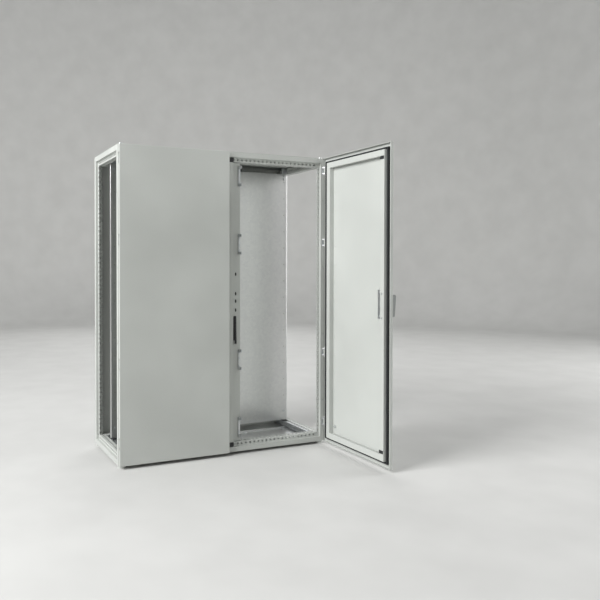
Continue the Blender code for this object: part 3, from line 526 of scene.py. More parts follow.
class Workpiece:
    """One piece in the making, and the steps that shape it."""

    def __init__(self, name: str) -> None:
        """Starts an empty piece.

        Args:
            name: the piece's name.
        """
        self.name = name
        self.form = bmesh.new()

    @classmethod
    def from_part(cls, node: str, rounding: float, segments: int) -> "Workpiece":
        """Starts from a CAD part's shape, with its sharp edges rounded.

        Args:
            node: the CAD node to copy.
            rounding: the edges' radius.
            segments: steps in each rounded edge.

        Returns:
            The piece, in the frame's measures.
        """
        piece = cls(node + "_piece")
        form = piece.form
        form.from_mesh(frame["nodes"][node].data)
        bmesh.ops.remove_doubles(form, verts=form.verts, dist=1e-6)
        bmesh.ops.dissolve_limit(
            form, angle_limit=FLAT_FOLD, use_dissolve_boundaries=False,
            verts=form.verts, edges=form.edges,
        )
        sharp = [
            edge for edge in form.edges
            if edge.is_manifold and edge.calc_face_angle(0.0) > ROUNDED_FOLD
        ]
        piece.round_edges(sharp, rounding, segments)
        return piece

    def round_edges(self, edges: Sequence[bmesh.types.BMEdge], radius: float, segments: int = 2) -> list:
        """Rounds edges.

        Args:
            edges: the edges to round.
            radius: how far from each edge the rounding starts.
            segments: steps in the rounding.

        Returns:
            The points of the rounding.
        """
        return bmesh.ops.bevel(
            self.form, geom=list(edges), offset=radius, offset_type="OFFSET", segments=segments,
            profile=0.5, affect="EDGES", clamp_overlap=True, material=-1,
        )["verts"]

    def box(self, low: Point, high: Point, rounding: float = 0.0, segments: int = 2) -> list:
        """Adds a block, rounded on all its edges if asked.

        Args:
            low: one corner.
            high: the opposite corner.
            rounding: the edges' radius, 0 for sharp ones.
            segments: steps in each rounded edge.

        Returns:
            The block's points.
        """
        corners = [(min(pair), max(pair)) for pair in zip(low, high)]
        size = Vector([top - bottom for bottom, top in corners])
        middle = Vector([(top + bottom) / 2 for bottom, top in corners])
        points = bmesh.ops.create_cube(self.form, size=1.0)["verts"]
        bmesh.ops.scale(self.form, vec=size, verts=points)
        bmesh.ops.translate(self.form, vec=middle, verts=points)
        if rounding:
            edges = {edge for point in points for edge in point.link_edges}
            points = self.round_edges(list(edges), rounding, segments)
        return points

    def bar(
        self, start: Point, end: Point, radius: float, segments: int, rounding: float = 0.0,
        socket: float = 0.0,
    ) -> None:
        """Adds a round bar or a screw head between two points.

        Args:
            start: the middle of the near end.
            end: the middle of the far end.
            radius: the bar's radius.
            segments: sides round the bar.
            rounding: radius of the far end's rim.
            socket: depth of a socket sunk in the far end, 0 for none.
        """
        start, end = Vector(start), Vector(end)
        run = end - start
        points = bmesh.ops.create_cone(
            self.form, cap_ends=True, segments=segments, radius1=radius, radius2=radius, depth=run.length
        )["verts"]
        turn = Vector((0, 0, 1)).rotation_difference(run).to_matrix().to_4x4()
        bmesh.ops.transform(self.form, matrix=Matrix.Translation((start + end) / 2) @ turn, verts=points)
        self.form.normal_update()
        caps = {face for point in points for face in point.link_faces if len(face.verts) == segments}
        far = max(caps, key=lambda face: face.calc_center_median().dot(run))
        if socket:
            rim, draft = radius * 0.5, radius * 0.02
            bmesh.ops.inset_individual(self.form, faces=[far], thickness=rim, use_even_offset=True)
            bmesh.ops.inset_individual(self.form, faces=[far], thickness=draft, depth=-socket)
        if rounding:
            direction = run.normalized()
            reach = end.dot(direction)
            edges = [
                edge for point in points if point.is_valid for edge in point.link_edges
                if all(
                    abs(v.co.dot(direction) - reach) < SAME and (v.co - end).length > radius * 0.8
                    for v in edge.verts
                )
            ]
            self.round_edges(list(set(edges)), rounding, 2)

    def loft(
        self, outline: Sequence[tuple[float, float]], origin: Point, across: Point, up: Point,
        run: Point, rounding: float,
    ) -> None:
        """Adds a solid bar of any section.

        Args:
            outline: the section's corners.
            origin: where the section's zero lies.
            across: the direction of the corners' first numbers.
            up: the direction of their second numbers.
            run: how far and which way the section is drawn out.
            rounding: radius of the section's corners.
        """
        origin, across, up, run = Vector(origin), Vector(across), Vector(up), Vector(run)
        points = [self.form.verts.new(origin + across * u + up * v) for u, v in outline]
        face = self.form.faces.new(points)
        bmesh.ops.bevel(
            self.form, geom=list(face.verts), offset=rounding, offset_type="OFFSET", segments=2,
            profile=0.5, affect="VERTICES", clamp_overlap=True, material=-1,
        )
        plane = run.normalized()
        level = origin.dot(plane)
        loose = [
            f for f in self.form.faces
            if all(e.is_boundary for e in f.edges)
            and abs(f.calc_center_median().dot(plane) - level) < 1e-6
        ]
        face = max(loose, key=lambda f: f.calc_area())
        made = bmesh.ops.extrude_face_region(self.form, geom=[face])["geom"]
        points = [item for item in made if isinstance(item, bmesh.types.BMVert)]
        bmesh.ops.translate(self.form, vec=run, verts=points)
        caps = [item for item in made if isinstance(item, bmesh.types.BMFace)]
        sides = {f for edge in caps[0].edges for f in edge.link_faces} | {face}
        bmesh.ops.recalc_face_normals(self.form, faces=list(sides))

    def fold(
        self, path: Sequence[tuple[float, float]], origin: Point, across: Point, up: Point,
        run: Point, front: Point, bend: float,
    ) -> None:
        """Adds folded sheet as a skin, to be given its thickness when it is done.

        Args:
            path: the corners that the sheet folds at.
            origin: where the path's zero lies.
            across: the direction of the corners' first numbers.
            up: the direction of their second numbers.
            run: how far and which way the fold is drawn out.
            front: the way that the first leg's outer side faces.
            bend: the folds' radius.
        """
        origin, across, up, run = Vector(origin), Vector(across), Vector(up), Vector(run)
        points = [self.form.verts.new(origin + across * u + up * v) for u, v in path]
        edges = [self.form.edges.new(pair) for pair in zip(points, points[1:])]
        made = bmesh.ops.extrude_edge_only(self.form, edges=edges)["geom"]
        bmesh.ops.translate(
            self.form, vec=run, verts=[item for item in made if isinstance(item, bmesh.types.BMVert)]
        )
        faces = [item for item in made if isinstance(item, bmesh.types.BMFace)]
        self.form.normal_update()
        first = next(face for face in faces if points[0] in face.verts)
        if first.normal.dot(Vector(front)) < 0:
            bmesh.ops.reverse_faces(self.form, faces=faces)
        folds = [edge for point in points[1:-1] for edge in point.link_edges if len(edge.link_faces) == 2]
        self.round_edges(folds, bend, 2)

    def picture_frame(
        self, low: tuple[float, float], high: tuple[float, float], width: float, base: float,
        top: float, rounding: float, segments: int = 2, closed: bool = True,
    ) -> None:
        """Adds a ring of four bars round a rectangle, in a door's measures.

        Args:
            low: along and height of the ring's outer corner.
            high: along and height of the opposite corner.
            width: width of its bars.
            base: depth of its foot on the sheet.
            top: depth of its far side.
            rounding: radius of the far side's edges.
            segments: steps in the rounding.
            closed: whether the foot is closed too.
        """
        corners = ((low[0], low[1]), (high[0], low[1]), (high[0], high[1]), (low[0], high[1]))
        points = [self.form.verts.new((along, base, height)) for along, height in corners]
        face = self.form.faces.new(points)
        face.normal_update()
        ring = bmesh.ops.inset_region(
            self.form, faces=[face], thickness=width, use_even_offset=True, use_boundary=True
        )["faces"]
        bmesh.ops.delete(self.form, geom=[face], context="FACES_ONLY")
        made = bmesh.ops.extrude_face_region(self.form, geom=ring)["geom"]
        points = [item for item in made if isinstance(item, bmesh.types.BMVert)]
        bmesh.ops.translate(self.form, vec=(0, top - base, 0), verts=points)
        bmesh.ops.recalc_face_normals(self.form, faces=self.form.faces)
        if not closed:
            foot = [f for f in self.form.faces if all(abs(v.co.y - base) < SAME for v in f.verts)]
            bmesh.ops.delete(self.form, geom=foot, context="FACES_ONLY")
        edges = [
            edge for edge in self.form.edges
            if all(abs(v.co.y - top) < SAME for v in edge.verts) and len(edge.link_faces) == 2
            and edge.calc_face_angle(0.0) > 1.0
        ]
        self.round_edges(edges, rounding, segments)

    def split(self, where: Point, normal: Point, near: Callable[[Vector], bool]) -> None:
        """Cuts faces in two along a plane, without parting them.

        Args:
            where: a point on the plane.
            normal: the way it faces.
            near: which faces to cut, by their middles.
        """
        faces = [f for f in self.form.faces if near(f.calc_center_median())]
        edges = {edge for face in faces for edge in face.edges}
        points = {point for face in faces for point in face.verts}
        bmesh.ops.bisect_plane(
            self.form, geom=[*faces, *edges, *points], dist=SAME,
            plane_co=Vector(where), plane_no=Vector(normal),
        )

    def face_near(self, place: Point, normal: Point) -> bmesh.types.BMFace:
        """Finds the flat face that faces a way and has its middle nearest a place.

        Args:
            place: where to look.
            normal: the way that the face must face.

        Returns:
            The face.
        """
        self.form.normal_update()
        place, normal = Vector(place), Vector(normal).normalized()
        facing = [face for face in self.form.faces if face.normal.dot(normal) > 0.98]
        return min(facing, key=lambda face: (face.calc_center_bounds() - place).length)

    def punch(self, face: bmesh.types.BMFace, along: Point, hole: Hole) -> None:
        """Punches a row of holes down the middle of a face.

        Args:
            face: the long flat face.
            along: the way that the row runs.
            hole: the hole's shape and pitch.
        """
        along = Vector(along).normalized()
        middle, normal = face.calc_center_bounds(), face.normal.copy()
        levels = [point.co.dot(along) for point in face.verts]
        start, length = min(levels), max(levels) - min(levels)
        count = max(1, round(length / hole.pitch))
        runs = {
            edge for edge in face.edges
            if abs((edge.verts[1].co - edge.verts[0].co).normalized().dot(along)) > 0.999
            and edge.calc_length() > length * 0.9
        }
        if count > 1:
            bmesh.ops.subdivide_edges(self.form, edges=list(runs), cuts=count - 1, use_grid_fill=True)
        self.form.normal_update()
        self.open_cells(middle, normal, along, start, length / count, count, hole)

    def open_cells(
        self, middle: Vector, normal: Vector, along: Vector, start: float, cell: float, count: int,
        hole: Hole,
    ) -> None:
        """Opens the holes in one face that is already parted into cells.

        Args:
            middle: the face's middle.
            normal: the way it faces.
            along: the way that the row runs.
            start: where the row starts.
            cell: length of a cell.
            count: number of cells.
            hole: the hole's shape.
        """
        across = normal.cross(along)
        cells = [
            face for face in self.form.faces
            if face.normal.dot(normal) > 0.9999
            and abs((face.calc_center_median() - middle).dot(normal)) < 1e-5
            and abs((face.calc_center_bounds() - middle).dot(across)) < ON_LEVEL
            and start < face.calc_center_median().dot(along) < start + cell * count
        ]
        if not cells:
            LOG.warning("%s has no cells to punch", self.name)
            return
        reach = [point.co.dot(across) for point in cells[0].verts]
        half_across = (max(reach) - min(reach)) / 2 - hole.margin
        half_along = cell / 2 - hole.margin
        bmesh.ops.inset_individual(self.form, faces=cells, thickness=hole.margin, use_even_offset=True)
        rims = list({edge for face in cells for edge in face.edges})
        bmesh.ops.delete(self.form, geom=cells, context="FACES_ONLY")
        halved = bmesh.ops.subdivide_edges(self.form, edges=rims, cuts=1)["geom_split"]
        rims = [item for item in halved if isinstance(item, bmesh.types.BMEdge)]
        for point in {point for edge in rims for point in edge.verts}:
            place = point.co.dot(along)
            number = min(max(int((place - start) / cell), 0), count - 1)
            centre = start + (number + 0.5) * cell
            off_along = round((place - centre) / half_along)
            off_across = round((point.co - middle).dot(across) / half_across)
            shrink = hole.corner if off_along and off_across else 1.0
            to_along = off_along * shrink * hole.length / 2 + centre
            to_across = off_across * shrink * hole.width / 2
            off_middle = (point.co - middle).dot(across)
            point.co += along * (to_along - place) + across * (to_across - off_middle)
        if hole.wall:
            made = bmesh.ops.extrude_edge_only(self.form, edges=rims)["geom"]
            inner = [item for item in made if isinstance(item, bmesh.types.BMVert)]
            bmesh.ops.translate(self.form, vec=-normal * hole.wall, verts=inner)

    def close_openings(self, normal: Point) -> None:
        """Closes every open rim that lies flat to a direction, as a dimple's bottom.

        Args:
            normal: the direction.
        """
        flat = Vector(normal)
        rims = [
            edge for edge in self.form.edges
            if edge.is_boundary
            and abs((edge.verts[1].co - edge.verts[0].co).normalized().dot(flat)) < 1e-3
        ]
        bmesh.ops.holes_fill(self.form, edges=rims, sides=0)

    def finish(
        self, slot: Slot, body: str, place: Matrix | None = None, replaces: Sequence[str] = (),
        sheet: float = 0.0,
    ) -> bpy.types.Object:
        """Puts the piece in the scene, in its finish and on its body.

        Args:
            slot: the finish.
            body: the CAD body that it moves with.
            place: from the piece's own measures to the frame's; None if they are the same.
            replaces: the CAD nodes that it stands for.
            sheet: thickness to give a skin, 0 for a solid.

        Returns:
            The piece's object.
        """
        if place is not None:
            bmesh.ops.transform(self.form, matrix=place, verts=self.form.verts)
            if place.determinant() < 0:
                bmesh.ops.reverse_faces(self.form, faces=self.form.faces)
        mesh = bpy.data.meshes.new(self.name)
        self.form.to_mesh(mesh)
        self.form.free()
        mesh.shade_smooth()
        mesh.set_sharp_from_angle(angle=SHARP_FOLD)
        mesh.materials.append(FINISHES.by_slot[slot])
        piece = bpy.data.objects.new(self.name, mesh)
        bpy.context.scene.collection.objects.link(piece)
        if sheet:
            skin = piece.modifiers.new("sheet_thickness", "SOLIDIFY")
            skin.thickness = sheet
            skin.offset = -1.0
            skin.use_even_offset = True
        smooth = piece.modifiers.new("flat_faces_stay_flat", "WEIGHTED_NORMAL")
        smooth.keep_sharp = True
        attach(piece, body)
        if replaces:
            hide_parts(*replaces)
        LOG.info("%s: %d faces on %s", self.name, len(mesh.polygons), body)
        return piece


def rounded_part(
    node: str, slot: Slot, body: str, rounding: float, segments: int = 2
) -> bpy.types.Object:
    """Stands a rounded copy in for a CAD part whose plain shape is right.

    Args:
        node: the CAD node.
        slot: its finish.
        body: the body that it moves with.
        rounding: the edges' radius.
        segments: steps in each rounded edge.

    Returns:
        The piece's object.
    """
    piece = Workpiece.from_part(node, rounding, segments)
    return piece.finish(slot, body, replaces=[node])


def joint_place(name: str) -> Vector:
    """A point on a joint's axis, from the record."""
    joint = next(joint for joint in frame["joints"] if joint["name"] == name)
    return Vector(joint["pos_m"])


class Layout:
    """Where the assemblies' own measures lie in the frame."""

    def __init__(self) -> None:
        """Reads the underside of the frame and the doors' hinge axes."""
        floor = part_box("base_rail_front")[0].z
        left = joint_place("left_door_hinge")
        right = joint_place("right_door_hinge")
        self.leaf: dict[Side, Matrix] = {
            Side.LEFT: Matrix.Translation((left.x, left.y, floor)),
            Side.RIGHT: Matrix(
                ((0, -1, 0, right.x), (-1, 0, 0, right.y), (0, 0, 1, floor), (0, 0, 0, 1))
            ),
        }

    def leaf_box(self, side: Side, node: str) -> tuple[Vector, Vector]:
        """A CAD node's box in a door's measures.

        Args:
            side: the door.
            node: the CAD node.

        Returns:
            Its lowest and highest along, depth and height.
        """
        back = self.leaf[side].inverted()
        ends = [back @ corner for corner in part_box(node)]
        low = Vector([min(a, b) for a, b in zip(*ends)])
        high = Vector([max(a, b) for a, b in zip(*ends)])
        return low, high


LAYOUT = Layout()


# ------------------------------------------------------------------ assemblies


@dataclass
class CabinetFrame:
    """The welded frame: posts and rails of one folded section, and cast corners."""

    section: float = 0.050
    lip: float = 0.0265
    step: float = 0.014
    slim: float = 0.042
    nose: float = 0.033
    bend: float = 0.0012
    corner_rounding: float = 0.003
    shoulder_hole: Hole = Hole(pitch=0.025, length=0.0135, width=0.0104, margin=0.0008)
    rail_hole: Hole = Hole(pitch=0.025, length=0.014, width=0.011, corner=0.86)
    lip_hole: Hole = Hole(pitch=0.4, length=0.009, width=0.009, margin=0.003)
    inner_hole: Hole = Hole(pitch=0.025, length=0.013, width=0.012, margin=0.001)

    def post_outline(self) -> list[tuple[float, float]]:
        """The posts' section, narrower at its inner corner than the rails'.

        Returns:
            Its corners, from the outer one.
        """
        return [
            (0, 0), (self.lip, 0), (self.lip, self.step), (self.slim, self.step), (self.nose, self.nose),
            (self.step, self.slim), (self.step, self.lip), (0, self.lip),
        ]

    def rail_outline(self) -> list[tuple[float, float]]:
        """The rails' section: a square with a step in two of its sides.

        Returns:
            Its corners, from the outer one.
        """
        far = self.section
        return [
            (0, 0), (self.lip, 0), (self.lip, self.step), (far, self.step), (far, far),
            (self.step, far), (self.step, self.lip), (0, self.lip),
        ]

    def member(
        self, node: str, outline: Sequence[tuple[float, float]], across: Vector, up: Vector, run: Vector,
        rows: Sequence[tuple[tuple[float, float], tuple[float, float], Hole]],
    ) -> bpy.types.Object:
        """Makes one bar of the frame with its rows of holes.

        Args:
            node: the CAD bar that it stands for.
            outline: its section.
            across: the direction of the section's first numbers, away from the outside.
            up: the direction of its second numbers.
            run: the bar's own direction.
            rows: for each row of holes the face's middle, the way it faces, and the hole.

        Returns:
            The bar's object.
        """
        low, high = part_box(node)
        outward = across + up
        origin = Vector([low[k] if outward[k] >= 0 else high[k] for k in range(3)])
        length = (high - low).dot(run)
        piece = Workpiece(node + "_profile")
        piece.loft(outline, origin, across, up, run * length, rounding=self.bend)
        for (u, v), (facing_u, facing_v), hole in rows:
            middle = origin + across * u + up * v + run * length / 2
            face = piece.face_near(middle, across * facing_u + up * facing_v)
            piece.punch(face, run, hole)
        return piece.finish(Slot.POWDER_COAT, "cabinet", replaces=[node])

    def posts(self) -> None:
        """Makes the four posts, each with four rows of holes and a few in its lip."""
        shoulder = (self.lip + self.slim) / 2
        near, far = (self.step + self.nose) / 2, (self.slim + self.nose) / 2
        slope = math.atan2(self.slim - self.nose, self.nose - self.step)
        rows = (
            ((shoulder, self.step), (0, -1), self.shoulder_hole),
            ((self.step, shoulder), (-1, 0), self.shoulder_hole),
            ((near, far), (math.sin(slope), math.cos(slope)), self.inner_hole),
            ((far, near), (math.cos(slope), math.sin(slope)), self.inner_hole),
            ((self.lip / 2, 0), (0, -1), self.lip_hole),
            ((0, self.lip / 2), (-1, 0), self.lip_hole),
        )
        for row, flip_y in zip(ROWS, (1, -1)):
            for side, flip_x in zip(SIDES, (1, -1)):
                self.member(
                    f"post_{row}_{side}", self.post_outline(), Vector((flip_x, 0, 0)),
                    Vector((0, flip_y, 0)), Vector(Z), rows,
                )

    def rails(self) -> None:
        """Makes the eight rails, each with holes in its shoulders and its two inner sides."""
        shoulder, inner = (self.lip + self.section) / 2, (self.step + self.section) / 2
        rows = (
            ((self.step, shoulder), (-1, 0), self.shoulder_hole),
            ((shoulder, self.step), (0, -1), self.shoulder_hole),
            ((inner, self.section), (0, 1), self.rail_hole),
            ((self.section, inner), (1, 0), self.rail_hole),
        )
        outline = self.rail_outline()
        for level, flip_z in (("base", 1), ("roof", -1)):
            up = Vector((0, 0, flip_z))
            for row, flip in zip(ROWS, (1, -1)):
                self.member(f"{level}_rail_{row}", outline, Vector((0, flip, 0)), up, Vector(X), rows)
            for side, flip in zip(SIDES, (1, -1)):
                self.member(f"{level}_rail_{side}", outline, Vector((flip, 0, 0)), up, Vector(Y), rows)

    def corners(self) -> None:
        """Makes the eight cast corners."""
        for level in ("base", "roof"):
            for row in ROWS:
                for side in SIDES:
                    node = f"{level}_corner_{row}_{side}"
                    rounded_part(node, Slot.POWDER_COAT, "cabinet", self.corner_rounding)

    def build(self) -> None:
        """Makes the whole frame."""
        self.posts()
        self.rails()
        self.corners()


@dataclass
class Cladding:
    """The roof plate with its bolts, and the rear panel with its sunk screws."""

    roof_rounding: float = 0.0006
    bolt_head: float = 0.007
    bolt_gap: float = 0.0003
    bolt_washer: float = 0.0012
    bolt_socket: float = 0.0035
    shank_share: float = 0.5
    head_share: float = 0.86
    panel_edge: float = 0.0025
    sheet: float = 0.0015
    dimple: Hole = Hole(pitch=0.39, length=0.024, width=0.022, wall=0.0025, margin=0.003)
    dimple_strip: float = 0.030
    dimple_inset: float = 0.022
    screw_radius: float = 0.0065
    screw_length: float = 0.010
    screw_sunk: float = 0.0003

    def roof(self) -> None:
        """Makes the roof plate and the four bolts that hold it."""
        rounded_part("roof_plate", Slot.POWDER_COAT, "cabinet", self.roof_rounding)
        for row in ROWS:
            for side in SIDES:
                self.roof_bolt(f"roof_bolt_{row}_{side}")

    def roof_bolt(self, node: str) -> None:
        """Makes one roof bolt: a shank, a washer and a round head with a socket.

        Args:
            node: the CAD bolt.
        """
        low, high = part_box(node)
        x, y, radius = (low.x + high.x) / 2, (low.y + high.y) / 2, (high.x - low.x) / 2
        seat = high.z - self.bolt_head
        washer_low = seat + self.bolt_gap
        washer_high = washer_low + self.bolt_washer
        head = radius * self.head_share
        piece = Workpiece(node + "_piece")
        piece.bar((x, y, low.z), (x, y, seat), radius * self.shank_share, 16)
        piece.bar((x, y, washer_low), (x, y, washer_high), radius, 28, 0.0004)
        piece.bar((x, y, washer_high), (x, y, high.z), head, 28, 0.0016, self.bolt_socket)
        piece.finish(Slot.ZINC, "cabinet", replaces=[node])

    def rear_panel(self) -> None:
        """Makes the rear panel: a shallow pan whose screws are sunk in dimples."""
        low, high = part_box("rear_panel")
        piece = Workpiece("rear_panel_pan")
        piece.box(low, high, self.panel_edge)
        middle = (low + high) / 2
        inside = piece.face_near((middle.x, low.y, middle.z), (0, -1, 0))
        bmesh.ops.delete(piece.form, geom=[inside], context="FACES_ONLY")
        columns = []
        for side, edge in ((1, low.x), (-1, high.x)):
            strip = edge + side * self.dimple_inset
            for offset in (-self.dimple_strip / 2, self.dimple_strip / 2):
                piece.split((strip + offset, 0, 0), X, lambda centre: centre.y > high.y - ON_LEVEL)
            columns.append(strip)
        for strip in columns:
            piece.punch(piece.face_near((strip, high.y, middle.z), Y), Z, self.dimple)
        piece.close_openings(Y)
        piece.finish(Slot.POWDER_COAT, "cabinet", replaces=["rear_panel"], sheet=self.sheet)
        screws = Workpiece("rear_panel_screws")
        inner_low, inner_high = low.z + self.panel_edge, high.z - self.panel_edge
        count = max(1, round((inner_high - inner_low) / self.dimple.pitch))
        cell = (inner_high - inner_low) / count
        near, far = high.y - self.dimple.wall - self.screw_length, high.y - self.screw_sunk
        for x in columns:
            for number in range(count):
                z = inner_low + (number + 0.5) * cell
                screws.bar((x, near, z), (x, far, z), self.screw_radius, 20, 0.0006, 0.0015)
        screws.finish(Slot.ZINC, "cabinet")

    def build(self) -> None:
        """Makes all the cladding."""
        self.roof()
        self.rear_panel()


@dataclass
class MountingAssembly:
    """The mounting plate, what carries it, and the plates of the floor."""

    plate_sheet: float = 0.003
    plate_bend: float = 0.004
    strip_inset: float = 0.010
    strip_width: float = 0.020
    strip_hole: Hole = Hole(pitch=0.1, length=0.009, width=0.009, wall=0.0, margin=0.002)
    rail_sheet: float = 0.002
    rail_top: Hole = Hole(pitch=0.025, length=0.012, width=0.010, corner=0.86, wall=0.0)
    rail_side: Hole = Hole(pitch=0.025, length=0.012, width=0.011, corner=0.86, wall=0.0)
    rail_bend: float = 0.002
    screw_inset: float = 0.0235
    screws_from_top: tuple[float, ...] = (0.030, 0.012)
    screw_from_bottom: float = 0.055
    screw_radius: float = 0.0065
    washer_share: float = 1.35
    washer: float = 0.0012
    screw_height: float = 0.0055
    gland_inset: float = 0.008
    gland_lip: tuple[float, float, float] = (0.0015, 0.0005, 0.009)
    gland_bead: tuple[float, float, float] = (0.004, 0.0008, 0.0018)
    bead_ends: tuple[float, float] = (0.012, 0.030)
    gland_screws: int = 5
    gland_screw_inset: float = 0.02
    gland_screw: tuple[float, float] = (0.005, 0.0035)

    def plate(self) -> None:
        """Makes the plate with its edges folded back and a row of holes down each side."""
        low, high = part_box("mounting_plate")
        piece = Workpiece("mounting_plate_sheet")
        path = [(low.x, high.y), (low.x, low.y), (high.x, low.y), (high.x, high.y)]
        run = (0, 0, high.z - low.z)
        piece.fold(path, (0, 0, low.z), X, Y, run, front=(-1, 0, 0), bend=self.plate_bend)
        middle = (low.z + high.z) / 2
        strips = []
        for side, edge in ((1, low.x), (-1, high.x)):
            near_edge = edge + side * (self.plate_bend + self.strip_inset)
            far_edge = near_edge + side * self.strip_width
            for cut in (near_edge, far_edge):
                piece.split((cut, 0, 0), X, lambda centre: abs(centre.y - low.y) < ON_LEVEL)
            strips.append((near_edge + far_edge) / 2)
        for strip in strips:
            piece.punch(piece.face_near((strip, low.y, middle), (0, -1, 0)), Z, self.strip_hole)
        piece.finish(Slot.GALVANISED, "cabinet", replaces=["mounting_plate"], sheet=self.plate_sheet)

    def supports(self) -> None:
        """Makes the plastic feet, the clips and the screws through the plate."""
        low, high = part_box("mounting_plate")
        screws = Workpiece("mounting_plate_screws")
        heights = [high.z - drop for drop in self.screws_from_top] + [low.z + self.screw_from_bottom]
        washer, head = low.y - self.washer, low.y - self.screw_height
        wide = self.screw_radius * self.washer_share
        for side, x in zip(SIDES, (low.x + self.screw_inset, high.x - self.screw_inset)):
            rounded_part(f"plate_foot_{side}", Slot.POLYAMIDE, "cabinet", 0.003, 3)
            rounded_part(f"plate_clip_{side}", Slot.ZINC, "cabinet", 0.0008)
            for z in heights:
                screws.bar((x, low.y, z), (x, washer, z), wide, 24, 0.0003)
                screws.bar((x, washer, z), (x, head, z), self.screw_radius, 6, 0.0006)
        screws.finish(Slot.ZINC, "cabinet")

    def depth_rail(self, side: str) -> None:
        """Makes one of the punched channels that run from front to back.

        Args:
            side: left or right.
        """
        node = f"depth_rail_{side}"
        low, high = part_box(node)
        piece = Workpiece(node + "_channel")
        outer, inner, facing = (low.x, high.x, 1) if side == "left" else (high.x, low.x, -1)
        path = [(outer, low.z), (inner, low.z), (inner, high.z), (outer, high.z)]
        run = (0, high.y - low.y, 0)
        piece.fold(path, (0, low.y, 0), X, Z, run, front=(0, 0, -1), bend=self.rail_bend)
        middle = (low + high) / 2
        piece.punch(piece.face_near((middle.x, middle.y, high.z), Z), Y, self.rail_top)
        piece.punch(piece.face_near((inner, middle.y, middle.z), (facing, 0, 0)), Y, self.rail_side)
        piece.finish(Slot.ZINC, "cabinet", replaces=[node], sheet=self.rail_sheet)

    def gland_plates(self) -> None:
        """Makes the two floor plates, with the upturned edges where they meet, and their screws."""
        screws = Workpiece("gland_plate_screws")
        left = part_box("depth_rail_left")[1].x + self.gland_inset
        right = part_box("depth_rail_right")[0].x - self.gland_inset
        lip, lip_base, lip_height = self.gland_lip
        half, sunk, proud = self.gland_bead
        near, far = self.bead_ends
        radius, head = self.gland_screw
        spread = right - left - 2 * self.gland_screw_inset
        for row, inward in zip(ROWS, (1, -1)):
            low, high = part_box(f"gland_plate_{row}")
            piece = Workpiece(f"gland_plate_{row}_sheet")
            piece.box(low, high, 0.0004, 1)
            seam, edge = (high.y, low.y) if inward > 0 else (low.y, high.y)
            y = seam - inward * near
            lip_low = (left, seam - inward * lip, low.z + lip_base)
            piece.box(lip_low, (right, seam, high.z + lip_height), 0.0005)
            for part in (1, 2):
                x = left + (right - left) * part / 3
                bead_high = (x + half, edge + inward * far, high.z + proud)
                piece.box((x - half, y, high.z - sunk), bead_high, 0.0016, 3)
            piece.finish(Slot.GALVANISED, "cabinet", replaces=[f"gland_plate_{row}"])
            for part in range(self.gland_screws):
                x = left + self.gland_screw_inset + spread * part / (self.gland_screws - 1)
                screws.bar((x, y, high.z), (x, y, high.z + head), radius, 18, 0.0008, 0.0016)
        screws.finish(Slot.ZINC, "cabinet")

    def build(self) -> None:
        """Makes the plate and everything under it."""
        self.plate()
        self.supports()
        for side in SIDES:
            self.depth_rail(side)
        self.gland_plates()


